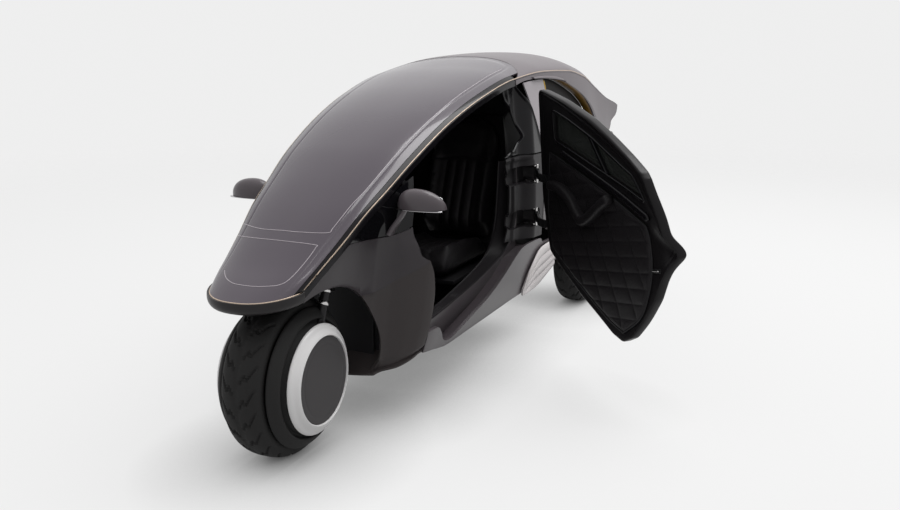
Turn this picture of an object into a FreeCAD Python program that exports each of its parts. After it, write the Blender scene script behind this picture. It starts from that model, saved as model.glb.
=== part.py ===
import FreeCAD, Part
import math
import os

# Narrow enclosed three wheeled car, in millimetres.
# The shapes are laid out on the vehicle datum: X forward, Y to the left, Z up from the floor,
# zero under the front axle on the centre plane. They are moved to the middle of the whole
# car's footprint only when they are written out.

V = FreeCAD.Vector
Y_AXIS = V(0, 1, 0)
Z_AXIS = V(0, 0, 1)

# Overall sizes
wheelbase = 2556.0
rear_track = 900.0
body_length = 3700.0
nose_reach = 302.0
body_height = 1486.0
body_half_width = 440.0

# Wheels
tyre_diameter = 624.0
tyre_width = 166.0
tread_crown = 26.0
rim_diameter = 432.0
rim_width = 122.0
rim_lip = 12.0
rim_barrel_wall = 8.0
rim_disc_thickness = 14.0
hub_radius = 46.0
hub_half_length = 62.0
rear_cover_radius = 168.0
rear_cover_thickness = 8.0

# Front fork and steering
rake_angle = 23.0
steering_limit = 30.0
fork_leg_radius = 20.0
fork_leg_offset = 112.0
fork_foot_drop = 34.0
crown_clearance = 24.0
crown_thickness = 40.0
crown_depth = 62.0
stem_radius = 15.0
stem_length = 150.0
head_tube_radius = 34.0
head_tube_length = 106.0
head_play = 0.4
front_axle_radius = 10.0
axle_half_length = 132.0
running_gap = 6.0
cover_ring_radius = 211.0
cover_ring_bore = 162.0
cover_ring_thickness = 19.0
cover_ring_plane = 159.0
cover_disc_radius = 168.0
cover_disc_proud = 14.0
cover_disc_play = 0.5

# Shell and panels
screen_thickness = 10.0
roof_thickness = 14.0
rail_drop = 34.0
rail_depth = 34.0
rail_flange = 14.0
panel_thickness = 26.0
door_thickness = 44.0
door_gap = 9.0
panel_gap = 0.6
seat_gap = 0.3
glass_thickness = 6.0
prism_reach = 700.0
overrun = 5.0

# Doors
hinge_back = 1709.0
hinge_side = 440.0
hinge_pin_radius = 7.0
hinge_bore_play = 0.4
hinge_barrel_radius = 14.0
hinge_barrel_height = 56.0
hinge_upper_height = 884.0
hinge_lower_height = 660.0
hinge_arm_thickness = 16.0
hinge_pocket_room = 12.0
hinge_lug_height = 18.0
door_open_angle = 45.6
door_full_angle = 62.0
door_trim_thickness = 12.0
armrest_depth = 46.0

# Cabin
floor_height = 250.0
floor_thickness = 24.0
floor_half_width = 280.0
floor_back = 1900.0
tub_wall = 20.0
tub_rise = 120.0
bulkhead_wall = 10.0
bulkhead_half_width = 165.0
seat_half_width = 215.0
dash_half_width = 245.0
yoke_radius = 140.0
yoke_tube_radius = 13.0
column_radius = 16.0
column_length = 210.0
column_angle = 28.0

# Rear end
axle_beam_radius = 38.0
rear_spindle_radius = 14.0
motor_half_length = 150.0
motor_radius = 105.0
battery_length = 620.0
battery_half_width = 250.0
battery_height = 130.0
deck_thickness = 12.0
deck_load_room = 5.0
fascia_thickness = 14.0
fascia_half_width = 385.0
deck_half_width = 392.0
lamp_height = 46.0
lamp_depth = 24.0
arch_radius = 352.0
front_arch_radius = 352.0

# Mirrors
mirror_length = 205.0
mirror_height = 92.0
mirror_depth = 78.0
mirror_inner_side = 288.0
mirror_back = 418.0
mirror_base_height = 905.0
mirror_stalk_radius = 12.0
mirror_glass_thickness = 4.0

tyre_radius = tyre_diameter / 2
rim_radius = rim_diameter / 2
rear_wheel_side = rear_track / 2

# Stations along the car run back from the nose tip as shares of the body length, and each
# carries the shell's half width, the height of its edge and the height of its crown as shares
# of the body's half width and height. The bow is how far the crown runs ahead of the edge,
# as a share of the nose reach.
arch_station_shares = (
    (0.0440, 0.418, 0.4623, 0.4500, 0.540),
    (0.0575, 0.448, 0.4860, 0.4745, 0.480),
    (0.0762, 0.480, 0.5148, 0.5100, 0.365),
    (0.1016, 0.523, 0.5532, 0.5640, 0.245),
    (0.1376, 0.584, 0.6130, 0.6330, 0.155),
    (0.1730, 0.632, 0.6588, 0.6920, 0.092),
    (0.2238, 0.693, 0.7261, 0.7610, 0.053),
    (0.3073, 0.761, 0.8129, 0.8480, 0.017),
    (0.3868, 0.818, 0.8708, 0.9070, 0.000),
    (0.4797, 0.875, 0.9159, 0.9550, 0.000),
    (0.5951, 0.920, 0.9341, 0.9930, 0.000),
    (0.7032, 0.955, 0.9287, 1.0000, 0.000),
    (0.7843, 0.982, 0.9020, 0.9790, 0.000),
    (0.8519, 1.011, 0.8490, 0.9220, 0.000),
    (0.9195, 1.034, 0.8010, 0.8450, 0.000),
    (0.9735, 1.057, 0.7740, 0.7910, 0.000),
    (1.0000, 1.068, 0.7500, 0.7600, 0.000),
)
sill_rows_count = 20
sill_room = 10.0
wall_reach_share = 0.892
halvings = 40
side_columns = 14
side_rows = 72
screen_rows_count = 26
roof_rows_count = 22
cross_count = 18
rail_rows_count = 26
crown_power_share = 2.37
shoulder_power_share = 0.625
seam_edge_share = 0.4870
seam_bow_share = 0.0810
screen_side_share = 0.925
rail_side_share = 0.935
rail_mid_share = 0.978
flange_side_share = 0.860

# The body side at each station: share of the body length, then five levels from the lower edge
# up to the shell's edge, as shares of the body height, and the half widths there as shares of
# the body's half width.
side_station_shares = (
    (0.0465, (0.400, 0.418, 0.434, 0.448, 0.462), (0.330, 0.378, 0.400, 0.412, 0.420)),
    (0.0816, (0.300, 0.390, 0.440, 0.480, 0.523), (0.380, 0.430, 0.452, 0.470, 0.488)),
    (0.1222, (0.240, 0.360, 0.440, 0.510, 0.588), (0.410, 0.450, 0.480, 0.515, 0.556)),
    (0.1600, (0.155, 0.300, 0.430, 0.540, 0.644), (0.425, 0.470, 0.520, 0.575, 0.614)),
    (0.1790, (0.150, 0.300, 0.440, 0.545, 0.668), (0.500, 0.560, 0.600, 0.640, 0.640)),
    (0.1900, (0.152, 0.300, 0.465, 0.545, 0.683), (0.650, 0.745, 0.760, 0.690, 0.655)),
    (0.2000, (0.157, 0.300, 0.485, 0.548, 0.697), (0.740, 0.850, 0.870, 0.750, 0.668)),
    (0.2130, (0.162, 0.300, 0.492, 0.556, 0.713), (0.785, 0.895, 0.917, 0.815, 0.682)),
    (0.2440, (0.178, 0.300, 0.496, 0.575, 0.749), (0.820, 0.915, 0.935, 0.890, 0.710)),
    (0.3520, (0.186, 0.300, 0.500, 0.610, 0.848), (0.870, 0.945, 0.965, 0.940, 0.793)),
    (0.4870, (0.186, 0.300, 0.500, 0.655, 0.919), (0.905, 0.975, 1.000, 0.975, 0.880)),
    (0.6220, (0.186, 0.300, 0.500, 0.660, 0.935), (0.950, 1.015, 1.035, 1.000, 0.930)),
    (0.7170, (0.186, 0.320, 0.500, 0.660, 0.925), (1.040, 1.130, 1.170, 1.070, 0.960)),
    (0.7840, (0.186, 0.320, 0.500, 0.660, 0.902), (1.090, 1.195, 1.230, 1.100, 0.982)),
    (0.8650, (0.186, 0.320, 0.500, 0.660, 0.839), (1.030, 1.110, 1.140, 1.050, 1.015)),
    (0.9460, (0.186, 0.320, 0.500, 0.660, 0.787), (0.920, 1.000, 1.040, 1.030, 1.045)),
    (1.0100, (0.186, 0.320, 0.500, 0.640, 0.742), (0.830, 0.920, 0.980, 1.030, 1.070)),
)

# Outlines in the side view: (share of the body length back from the nose tip, share of height)
door_outline_shares = (
    (0.2210, 0.7700), (0.2210, 0.7130), (0.2070, 0.5250), (0.1985, 0.4920), (0.2440, 0.2680),
    (0.2620, 0.2180), (0.2800, 0.2010), (0.2960, 0.2060), (0.3790, 0.2610), (0.4260, 0.3040),
    (0.4750, 0.3560), (0.4900, 0.4330), (0.5060, 0.5180), (0.5040, 0.6730), (0.4760, 0.9000),
    (0.4760, 0.9600),
)
door_window_shares = (
    (0.2400, 0.6900), (0.2340, 0.6050), (0.3600, 0.6700), (0.4820, 0.7150), (0.4650, 0.8620),
    (0.3900, 0.8250), (0.3000, 0.7600),
)
flank_outline_shares = (
    (0.0300, 0.3500), (0.0300, 0.5000), (0.1080, 0.5550), (0.2200, 0.5436), (0.2600, 0.2350),
    (0.2480, 0.2350), (0.2480, 0.1400), (0.1300, 0.1400),
)
quarter_window_shares = (
    (0.1080, 0.5550), (0.2300, 0.5426), (0.2300, 0.7800), (0.1080, 0.7400),
)
post_outline_shares = (
    (0.4700, 0.9400), (0.4700, 0.3650), (0.5700, 0.3650), (0.5700, 0.6560), (0.5480, 0.7280),
    (0.5010, 0.9300),
)
quarter_outline_shares = (
    (0.4950, 0.9400), (0.5400, 0.7290), (0.5600, 0.6570), (0.6150, 0.6570), (0.6260, 0.7600),
    (0.6240, 0.8500), (0.5960, 0.9400),
)
rear_outline_shares = (
    (0.5702, 0.3400), (0.5702, 0.6566), (0.9560, 0.6566), (0.9900, 0.6300), (0.9560, 0.2600),
    (0.8400, 0.2300), (0.6325, 0.2300), (0.6325, 0.3396),
)
sill_outline_shares = (
    (0.2400, 0.1400), (0.2400, 0.3000), (0.4690, 0.3646), (0.5700, 0.3646), (0.5700, 0.3396),
    (0.6323, 0.3396), (0.6323, 0.2300), (0.6000, 0.1400),
)
fairing_outline_shares = (
    (0.4820, 0.1900), (0.5200, 0.1880), (0.6310, 0.2500), (0.6310, 0.3340), (0.5850, 0.3120),
    (0.5300, 0.2600),
)
tail_side_outline_shares = (
    (0.4900, 0.9160), (0.5550, 0.9180), (0.6180, 0.9160), (0.6640, 0.9040), (0.7130, 0.8770),
    (0.7700, 0.8330), (0.8200, 0.7720), (0.8600, 0.6900), (0.8680, 0.6570), (0.9560, 0.6570),
    (0.9920, 0.6900), (0.9960, 0.8000), (0.9000, 0.9600), (0.4900, 0.9900),
)
trim_outline_shares = (
    (0.2160, 0.5700), (0.2150, 0.4900), (0.2500, 0.3100), (0.2600, 0.2900), (0.3740, 0.3150),
    (0.4200, 0.3380), (0.4640, 0.3820), (0.4760, 0.4500), (0.4830, 0.5300), (0.4800, 0.6800),
    (0.3600, 0.6400),
)
armrest_shares = (
    (0.3250, 0.5000), (0.3250, 0.4600), (0.4200, 0.4400), (0.4600, 0.5000), (0.4520, 0.5300),
    (0.4200, 0.4860),
)
sill_path_shares = (
    (0.2000, 0.2620), (0.2600, 0.2650), (0.3500, 0.2900), (0.4400, 0.3250), (0.5150, 0.3550),
    (0.5690, 0.3640),
)
sill_step_shares = (
    (0.2000, 0.1800), (0.2750, 0.1810), (0.2960, 0.1880), (0.3800, 0.2440), (0.4260, 0.2870),
    (0.4700, 0.3300), (0.5690, 0.3500),
)
well_path_shares = (
    (0.55, 0.4480), (0.20, 0.5000), (-0.33, 0.5400), (-0.93, 0.5380), (-1.30, 0.4700),
    (-1.39, 0.3700), (-1.39, 0.1700),
)
cushion_outline_shares = (
    (0.380, 0.330), (0.378, 0.372), (0.400, 0.392), (0.470, 0.380), (0.530, 0.352),
    (0.545, 0.300), (0.545, 0.285), (0.390, 0.285),
)
back_outline_shares = (
    (0.532, 0.362), (0.508, 0.400), (0.552, 0.620), (0.574, 0.770), (0.590, 0.790),
    (0.602, 0.775), (0.592, 0.640), (0.568, 0.420), (0.552, 0.330),
)
seat_frame_shares = (
    (0.3900, 0.2722), (0.3900, 0.2848), (0.5521, 0.2848), (0.5521, 0.3300), (0.5681, 0.4200),
    (0.5921, 0.6400), (0.6021, 0.7750), (0.6061, 0.7750), (0.5961, 0.6400), (0.5721, 0.4200),
    (0.5600, 0.3300), (0.5600, 0.2722),
)
dash_outline_shares = (
    (0.0000, 0.4900), (0.0000, 0.5900), (0.0180, 0.6000), (0.0430, 0.5700), (0.0430, 0.5150),
    (0.0180, 0.4800),
)
deck_level_share = 0.6520
fascia_room_share = 0.42
deck_back_share = 0.9480
fascia_low_share = 0.2800
fascia_lean_share = 0.1500
lamp_low_share = 0.5750
lamp_span_share = 0.9000
flare_share = 0.055
door_rear_share = 0.5060


def span(table, x, column):
    """Smooth value of one column of a table of stations at x, in the table's own shares."""
    keys = [row[0] for row in table]
    values = [row[column] for row in table]
    last = len(keys) - 1
    i = 0
    while i < last - 1 and x > keys[i + 1]:
        i += 1
    def rate(k):
        return (values[k + 1] - values[k]) / (keys[k + 1] - keys[k])
    def slope(k):
        if k == 0 or k == last:
            return rate(min(k, last - 1))
        before = rate(k - 1)
        after = rate(k)
        return 2 * before * after / (before + after) if before * after > 0 else 0
    step = keys[i + 1] - keys[i]
    u = (x - keys[i]) / step
    u2 = u * u
    u3 = u2 * u
    return ((2 * u3 - 3 * u2 + 1) * values[i] + (u3 - 2 * u2 + u) * step * slope(i)
            + (3 * u2 - 2 * u3) * values[i + 1] + (u3 - u2) * step * slope(i + 1))


def back(share):
    """X of a station that lies a share of the body length behind the nose tip."""
    return nose_reach - share * body_length


def shell_point(share, q, depth):
    """Point of the arched shell at a station, q from minus one to one across, sunk by depth."""
    width = span(arch_station_shares, share, 1) * body_half_width
    edge = span(arch_station_shares, share, 2) * body_height
    crown = span(arch_station_shares, share, 3) * body_height
    bow = max(span(arch_station_shares, share, 4), 0) * nose_reach
    full = max(1 - abs(q) ** crown_power_share, 0) ** shoulder_power_share
    return V(back(share) + bow * full, width * q, edge + (crown - edge) * full - depth)


def shell_section_point(x, q, depth):
    """Point of the shell in the plane at x, found by halving the run of stations."""
    low = arch_station_shares[0][0]
    high = 1
    for step in range(halvings):
        middle = (low + high) / 2
        if shell_point(middle, q, depth).x > x:
            low = middle
        else:
            high = middle
    found = shell_point(high, q, depth)
    return V(x, found.y, found.z)


def shell_lift(x, q):
    """Upward part of the shell's unit normal at a point."""
    step = panel_thickness
    here = shell_section_point(x, q, 0)
    ahead = shell_section_point(x - step, q, 0) - here
    across = shell_section_point(x, q * (1 - flare_share), 0) - here
    normal = ahead.cross(across).normalize()
    return abs(normal.z)


def even(count):
    """Evenly spaced shares from zero to one."""
    return [i / count for i in range(count + 1)]


def normals(rows):
    """Unit normal at each point of a grid, from its neighbours."""
    last_row = len(rows) - 1
    last_col = len(rows[0]) - 1
    found = []
    for i, row in enumerate(rows):
        line = []
        for j in range(len(row)):
            along = rows[min(i + 1, last_row)][j] - rows[max(i - 1, 0)][j]
            across = row[min(j + 1, last_col)] - row[max(j - 1, 0)]
            line.append(along.cross(across).normalize())
        found.append(line)
    return found


def slab(rows, depth):
    """Solid between a surface through a grid of points and its offset by depth."""
    inner = [[p + n * depth for p, n in zip(row, line)] for row, line in zip(rows, normals(rows))]
    faces = []
    edges = []
    for grid in (rows, inner):
        surface = Part.BSplineSurface()
        surface.interpolate(grid)
        u0, u1, v0, v1 = surface.bounds()
        faces.append(surface.toShape())
        edges.append([surface.uIso(u0).toShape(), surface.uIso(u1).toShape(),
                      surface.vIso(v0).toShape(), surface.vIso(v1).toShape()])
    faces += [Part.makeRuledSurface(a, b) for a, b in zip(edges[0], edges[1])]
    shell = Part.Shell(faces)
    shell.sewShape()
    body = Part.makeSolid(shell)
    if body.Volume < 0:
        body.reverse()
    return body


def side_grid():
    """Points of the left body side, station by station, from the lower edge to the shell."""
    levels = range(len(side_station_shares[0][1]))
    tables = []
    for level in levels:
        tables.append([(row[0], row[1][level], row[2][level]) for row in side_station_shares])
    first = side_station_shares[0][0]
    reach = side_station_shares[-1][0] - first
    rows = []
    for r in even(side_rows):
        share = first + r * reach
        knots = [(k, span(tables[k], share, 1), span(tables[k], share, 2)) for k in levels]
        row = []
        for c in even(side_columns):
            k = c * levels[-1]
            row.append(V(back(share), span(knots, k, 2) * body_half_width,
                         span(knots, k, 1) * body_height))
        rows.append(row)
    return rows


def prism(outline, near, far):
    """Prism of a side view outline between two distances from the centre plane."""
    points = [V(back(s), near, h * body_height) for s, h in outline]
    wire = Part.makePolygon(points + points[:1])
    return Part.Face(wire).extrude(V(0, far - near, 0))


def mirrored(shape):
    return shape.mirror(V(0, 0, 0), Y_AXIS)


def pair(shape):
    """The left piece and its mirror image on the right, as one node."""
    return Part.makeCompound(shape.Solids + mirrored(shape).Solids)


def one(shape):
    """The shape as a single solid where it is one, else a compound of its solids."""
    solids = shape.Solids
    if len(solids) == 1:
        return solids[0]
    return Part.makeCompound(solids)


def cylinder(radius, length, base, direction):
    return Part.makeCylinder(radius, length, base, direction)


def tube_y(outer, inner, near, far, x, z):
    ring = cylinder(outer, far - near, V(x, near, z), Y_AXIS)
    return ring.cut(cylinder(inner, far - near, V(x, near, z), Y_AXIS))


def box(x0, x1, y0, y1, z0, z1):
    low = V(min(x0, x1), min(y0, y1), min(z0, z1))
    return Part.makeBox(abs(x1 - x0), abs(y1 - y0), abs(z1 - z0), low)


nodes = {}
grid = side_grid()
panel_skin = slab(grid, -panel_thickness)
door_skin = slab(grid, -door_thickness)
glass_grid = [[p + n * (-panel_gap) for p, n in zip(row, line)]
              for row, line in zip(grid, normals(grid))]
glass_skin = slab(glass_grid, -glass_thickness)
trim_grid = [[p + n * (-door_thickness - seat_gap) for p, n in zip(row, line)]
             for row, line in zip(grid, normals(grid))]
trim_skin = slab(trim_grid, -door_trim_thickness)


# Windscreen: one long glossy panel from the nose to the roof seam
def seam(q):
    full = max(1 - abs(q) ** crown_power_share, 0) ** shoulder_power_share
    return seam_edge_share + seam_bow_share * full


cross_shares = [math.sin(math.pi * (c - 0.5)) for c in even(cross_count)]
first_share = arch_station_shares[0][0]
screen_rows = []
for r in even(screen_rows_count):
    row = []
    for c in cross_shares:
        q = c * screen_side_share
        share = first_share + r * (seam(q) - first_share)
        row.append(shell_point(share, q, 0))
    screen_rows.append(row)
nodes["windscreen"] = slab(screen_rows, screen_thickness)

# Roof and tail: from the seam over the cabin to the lip of the tail
roof_rows = []
for r in even(roof_rows_count):
    row = []
    for c in cross_shares:
        start = seam(c) + panel_gap / body_length
        row.append(shell_point(start + r * (1 - start), c, 0))
    roof_rows.append(row)
nodes["roof_tail"] = slab(roof_rows, roof_thickness)


# Side rails of the screen: each has a flange under the screen and a side face below its edge
def rail_section(x):
    edge = shell_section_point(x, 1, 0)
    inner = V(0, -rail_depth, 0)
    drop = V(0, 0, -rail_drop)
    flange_depth = (screen_thickness + panel_gap) / shell_lift(x, flange_side_share)
    edge_depth = (screen_thickness + panel_gap) / shell_lift(x, rail_side_share)
    return [
        shell_section_point(x, rail_side_share, 0),
        shell_section_point(x, rail_mid_share, 0),
        edge,
        edge + drop,
        edge + drop + inner,
        shell_section_point(x, flange_side_share, flange_depth + rail_flange),
        shell_section_point(x, flange_side_share, flange_depth),
        shell_section_point(x, rail_side_share, edge_depth),
    ]


rail_front_share = 0.0600
rail_back_share = seam_edge_share - panel_gap / body_length
sections = []
for r in even(rail_rows_count):
    points = rail_section(back(rail_front_share + r * (rail_back_share - rail_front_share)))
    sections.append(Part.makePolygon(points + points[:1]))
rail = Part.makeLoft(sections, True, False)
nodes["arch_rails"] = pair(rail)

# Body sides, all cut from one skin so that neighbouring panels line up
shell_floor = []
side_first = side_station_shares[0][0]
side_reach = side_station_shares[-1][0] - side_first
for r in even(side_rows):
    share = side_first + r * side_reach
    shell_floor.append((share, span(arch_station_shares, min(share, 1), 2) * body_height))


def under_rail(room):
    """Solid that keeps what lies below the rail's lower edge, with room to it."""
    points = [V(back(s), 0, z - rail_drop - room) for s, z in shell_floor]
    points += [V(back(shell_floor[-1][0]), 0, 0), V(back(shell_floor[0][0]), 0, 0)]
    wire = Part.makePolygon(points + points[:1])
    return Part.Face(wire).extrude(V(0, prism_reach, 0))


def wheel_gap(x, radius, near, far):
    return cylinder(radius, far - near, V(x, near, tyre_radius), Y_AXIS)


def room_for(outline, room):
    """Prism of an outline grown by a gap, for cutting its neighbours."""
    points = [V(back(s), 0, h * body_height) for s, h in outline]
    wire = Part.makePolygon(points + points[:1])
    grown = Part.Face(wire).makeOffset2D(room, 2, False, False, False)
    return grown.extrude(V(0, prism_reach, 0))


def side_panel(outline, skin, room, neighbours):
    panel = skin.common(prism(outline, 0, prism_reach))
    panel = panel.common(under_rail(room))
    for neighbour in neighbours:
        panel = panel.cut(neighbour)
    return panel


door_room = room_for(door_outline_shares, door_gap)
post_room = room_for(post_outline_shares, panel_gap)
quarter_room = room_for(quarter_outline_shares, panel_gap)
flank_room = room_for(flank_outline_shares, panel_gap)


flank = side_panel(flank_outline_shares, panel_skin, panel_gap, [door_room])
flank = one(flank.cut(wheel_gap(0, front_arch_radius, 0, prism_reach)))
nodes["flanks"] = pair(flank)

quarter_window = one(side_panel(quarter_window_shares, glass_skin, panel_gap,
                                [door_room, flank_room]))
nodes["quarter_windows"] = pair(quarter_window)

pocket_front = back(door_rear_share)
hinge_x = -hinge_back
pocket_back = hinge_x - hinge_barrel_radius - hinge_pocket_room
pocket_half = hinge_barrel_height / 2 + hinge_pocket_room
post = one(side_panel(post_outline_shares, panel_skin, panel_gap, [door_room]))
hinge_heights = (hinge_upper_height, hinge_lower_height)
for height in hinge_heights:
    post = post.cut(box(pocket_back, pocket_front + hinge_pocket_room * 6, 0, prism_reach,
                        height - pocket_half, height + pocket_half))
hinge_parts = []
for height in hinge_heights:
    low = height - pocket_half
    for base in (low - hinge_lug_height, height + pocket_half):
        lug = box(pocket_back, hinge_x + hinge_barrel_radius, hinge_side - panel_thickness * 2,
                  hinge_side + hinge_barrel_radius, base, base + hinge_lug_height)
        hinge_parts.append(lug)
    pin_length = pocket_half * 2 + hinge_lug_height * 2
    hinge_parts.append(cylinder(hinge_pin_radius, pin_length,
                                V(hinge_x, hinge_side, low - hinge_lug_height), Z_AXIS))
post = one(post.fuse(hinge_parts))
nodes["b_posts"] = pair(post)

cabin_quarter = one(side_panel(quarter_outline_shares, panel_skin, panel_gap, [post_room]))
nodes["cabin_quarters"] = pair(cabin_quarter)

rear_quarter = panel_skin.common(prism(rear_outline_shares, 0, prism_reach))
rear_quarter = one(rear_quarter.cut(wheel_gap(-wheelbase, arch_radius, 0, prism_reach)))
nodes["rear_quarters"] = pair(rear_quarter)

tail_side = side_panel(tail_side_outline_shares, panel_skin,
                       roof_thickness - rail_drop + panel_gap, [post_room, quarter_room])
tail_side = one(tail_side)
nodes["tail_sides"] = pair(tail_side)

skirt = panel_skin.common(prism(sill_outline_shares, 0, prism_reach))
skirt = one(skirt.cut(door_room).cut(flank_room))
nodes["skirts"] = pair(skirt)

fairing_grid = [[p + n * (panel_thickness / 2) for p, n in zip(row, line)]
                for row, line in zip(grid, normals(grid))]
fairing_skin = slab(fairing_grid, -panel_thickness / 2 + seat_gap)
fairing = one(fairing_skin.common(prism(fairing_outline_shares, 0, prism_reach)))
nodes["ribbed_fairings"] = pair(fairing)

# Doors: shell, window and inner trim, closed on the right and open on the left
door_prism = prism(door_outline_shares, 0, prism_reach)
window_prism = prism(door_window_shares, 0, prism_reach)
door = door_skin.common(door_prism).common(under_rail(door_gap)).cut(window_prism)
arm_front = pocket_front + panel_thickness * 2
arm_side = hinge_side - door_thickness - hinge_arm_thickness
door_parts = []
for height in hinge_heights:
    low = height - hinge_barrel_height / 2
    points = [
        V(hinge_x, hinge_side + hinge_arm_thickness / 2, low),
        V(hinge_x, hinge_side - hinge_arm_thickness / 2, low),
        V(arm_front - panel_thickness, arm_side, low),
        V(arm_front, arm_side, low),
        V(arm_front, arm_side + hinge_arm_thickness * 2, low),
    ]
    arm = Part.Face(Part.makePolygon(points + points[:1]))
    arm = arm.extrude(V(0, 0, hinge_barrel_height))
    barrel = cylinder(hinge_barrel_radius, hinge_barrel_height, V(hinge_x, hinge_side, low),
                      Z_AXIS)
    door_parts += [arm, barrel]
door = door.fuse(door_parts)
for height in hinge_heights:
    low = height - hinge_barrel_height / 2
    bore = cylinder(hinge_pin_radius + hinge_bore_play, hinge_barrel_height,
                    V(hinge_x, hinge_side, low), Z_AXIS)
    door = door.cut(bore)
door = one(door)
door_glass = one(glass_skin.common(window_prism).common(under_rail(door_gap)))
trim = trim_skin.common(prism(trim_outline_shares, 0, prism_reach))
rest_near = body_half_width - door_thickness - armrest_depth * 2
rest = prism(armrest_shares, rest_near, body_half_width - door_thickness)
rest = rest.cut(slab(grid, -door_thickness - seat_gap))
trim = one(trim.fuse(rest))


def swung(shape):
    turned = shape.copy()
    turned.rotate(V(hinge_x, hinge_side, 0), Z_AXIS, door_open_angle)
    return turned


nodes["door_shell_left"] = swung(door)
nodes["door_window_left"] = swung(door_glass)
nodes["door_trim_left"] = swung(trim)
nodes["door_shell_right"] = mirrored(door)
nodes["door_window_right"] = mirrored(door_glass)
nodes["door_trim_right"] = mirrored(trim)

# Nose band below the leading edge of the screen, closed under by a short lip
nose_lip = 34.0
nose_top = [p + n * (screen_thickness + seat_gap)
            for p, n in zip(screen_rows[0], normals(screen_rows)[0])]
nose_low = []
for c, p in zip(cross_shares, nose_top):
    shrink = 1 - flare_share
    nose_low.append(V(p.x - nose_lip * (1 - abs(c)) / 2, p.y * shrink, p.z - nose_lip))
nose_rows = [nose_top, [(a + b) * 0.5 for a, b in zip(nose_top, nose_low)], nose_low]
nodes["nose_band"] = slab(nose_rows, -panel_thickness / 2)

# Front bulkhead: the folded wall of the wheel well, over the fork and down behind the wheel
outer = [V(s * nose_reach, -bulkhead_half_width, h * body_height) for s, h in well_path_shares]
wall_front = bulkhead_wall + seat_gap - outer[-1].x
floor_front = wall_front + bulkhead_wall + seat_gap
wall_points = []
for i, p in enumerate(outer):
    ahead = outer[min(i + 1, len(outer) - 1)] - outer[max(i - 1, 0)]
    side = ahead.cross(Y_AXIS).normalize()
    wall_points.append(p + side * bulkhead_wall)
profile = outer + wall_points[::-1]
bulkhead = Part.Face(Part.makePolygon(profile + profile[:1]))
bulkhead = bulkhead.extrude(V(0, bulkhead_half_width * 2, 0))

# Steering axis through the front axle, leaning back by the rake
rake = math.radians(rake_angle)
steer_up = V(-math.sin(rake), 0, math.cos(rake))
steer_ahead = V(math.cos(rake), 0, math.sin(rake))
axle = V(0, 0, tyre_radius)
crown_base = tyre_radius + crown_clearance
head_base = crown_base + crown_thickness + running_gap


def on_axis(distance, side):
    return axle + steer_up * distance + V(0, side, 0)


def steered_box(low, high, half_depth, half_side):
    """Block square to the steering axis between two distances from the axle."""
    base = on_axis(low, -half_side) - steer_ahead * half_depth
    points = [base, base + steer_ahead * half_depth * 2,
              base + steer_ahead * half_depth * 2 + V(0, half_side * 2, 0),
              base + V(0, half_side * 2, 0)]
    face = Part.Face(Part.makePolygon(points + points[:1]))
    return face.extrude(steer_up * (high - low))


crown_half_side = fork_leg_offset + fork_leg_radius + panel_gap * 2
crown = steered_box(crown_base, crown_base + crown_thickness, crown_depth / 2, crown_half_side)
stem = cylinder(stem_radius, stem_length, on_axis(crown_base, 0), steer_up)
crown = crown.fuse(stem)
legs = []
for side in (-fork_leg_offset, fork_leg_offset):
    leg_length = crown_base + crown_thickness / 2 + fork_foot_drop
    legs.append(cylinder(fork_leg_radius, leg_length, on_axis(-fork_foot_drop, side), steer_up))
spindle = cylinder(front_axle_radius, axle_half_length * 2,
                   V(0, -axle_half_length, tyre_radius), Y_AXIS)
nodes["fork"] = one(crown.fuse(legs).cut(spindle))
nodes["front_axle"] = spindle

head_tube = cylinder(head_tube_radius, head_tube_length, on_axis(head_base, 0), steer_up)
head_bore = cylinder(stem_radius + head_play, head_tube_length, on_axis(head_base, 0), steer_up)
head_centre = on_axis(head_base + head_tube_length / 2, 0)
bracket = box(-wall_front + seat_gap, head_centre.x, -head_tube_radius, head_tube_radius,
              head_centre.z - head_tube_radius, head_centre.z + head_tube_radius / 2)
head = head_tube.fuse(bracket).cut(head_bore)
head_room = cylinder(head_tube_radius + seat_gap, head_tube_length * 2, on_axis(head_base, 0),
                     steer_up)
bracket_room = box(-wall_front, head_centre.x, -head_tube_radius - seat_gap,
                   head_tube_radius + seat_gap, head_centre.z - head_tube_radius - seat_gap,
                   head_centre.z + head_tube_radius / 2 + seat_gap)
nodes["steering_head"] = one(head)
nodes["front_bulkhead"] = one(bulkhead.cut(head_room).cut(bracket_room))

# Covers outside the fork legs: a pale ring with a dark disc standing proud in it
ring_base = cover_ring_plane - cover_ring_thickness
ring = tube_y(cover_ring_radius, cover_ring_bore, ring_base, cover_ring_plane, 0, tyre_radius)
disc = cylinder(cover_disc_radius, cover_ring_plane + cover_disc_proud - cover_ring_plane,
                V(0, cover_ring_plane, tyre_radius), Y_AXIS)
plug = cylinder(cover_ring_bore - cover_disc_play, cover_ring_thickness,
                V(0, ring_base, tyre_radius), Y_AXIS)
boss = cylinder(front_axle_radius * 2, ring_base - axle_half_length,
                V(0, axle_half_length, tyre_radius), Y_AXIS)
disc = one(disc.fuse([plug, boss]))
nodes["cover_rings"] = pair(ring)
nodes["cover_discs"] = pair(disc)


# Wheels: a tyre turned about the axle and a rim with a barrel, two lips, a disc and a hub
def turned(points, x, y):
    """Solid of revolution about the wheel's axle from (side, radius) points and arcs."""
    placed = [V(x, y + p[0], tyre_radius + p[1]) for p in points]
    wire = Part.makePolygon(placed + placed[:1])
    return Part.Face(wire).revolve(V(x, y, tyre_radius), Y_AXIS, 360)


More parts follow.
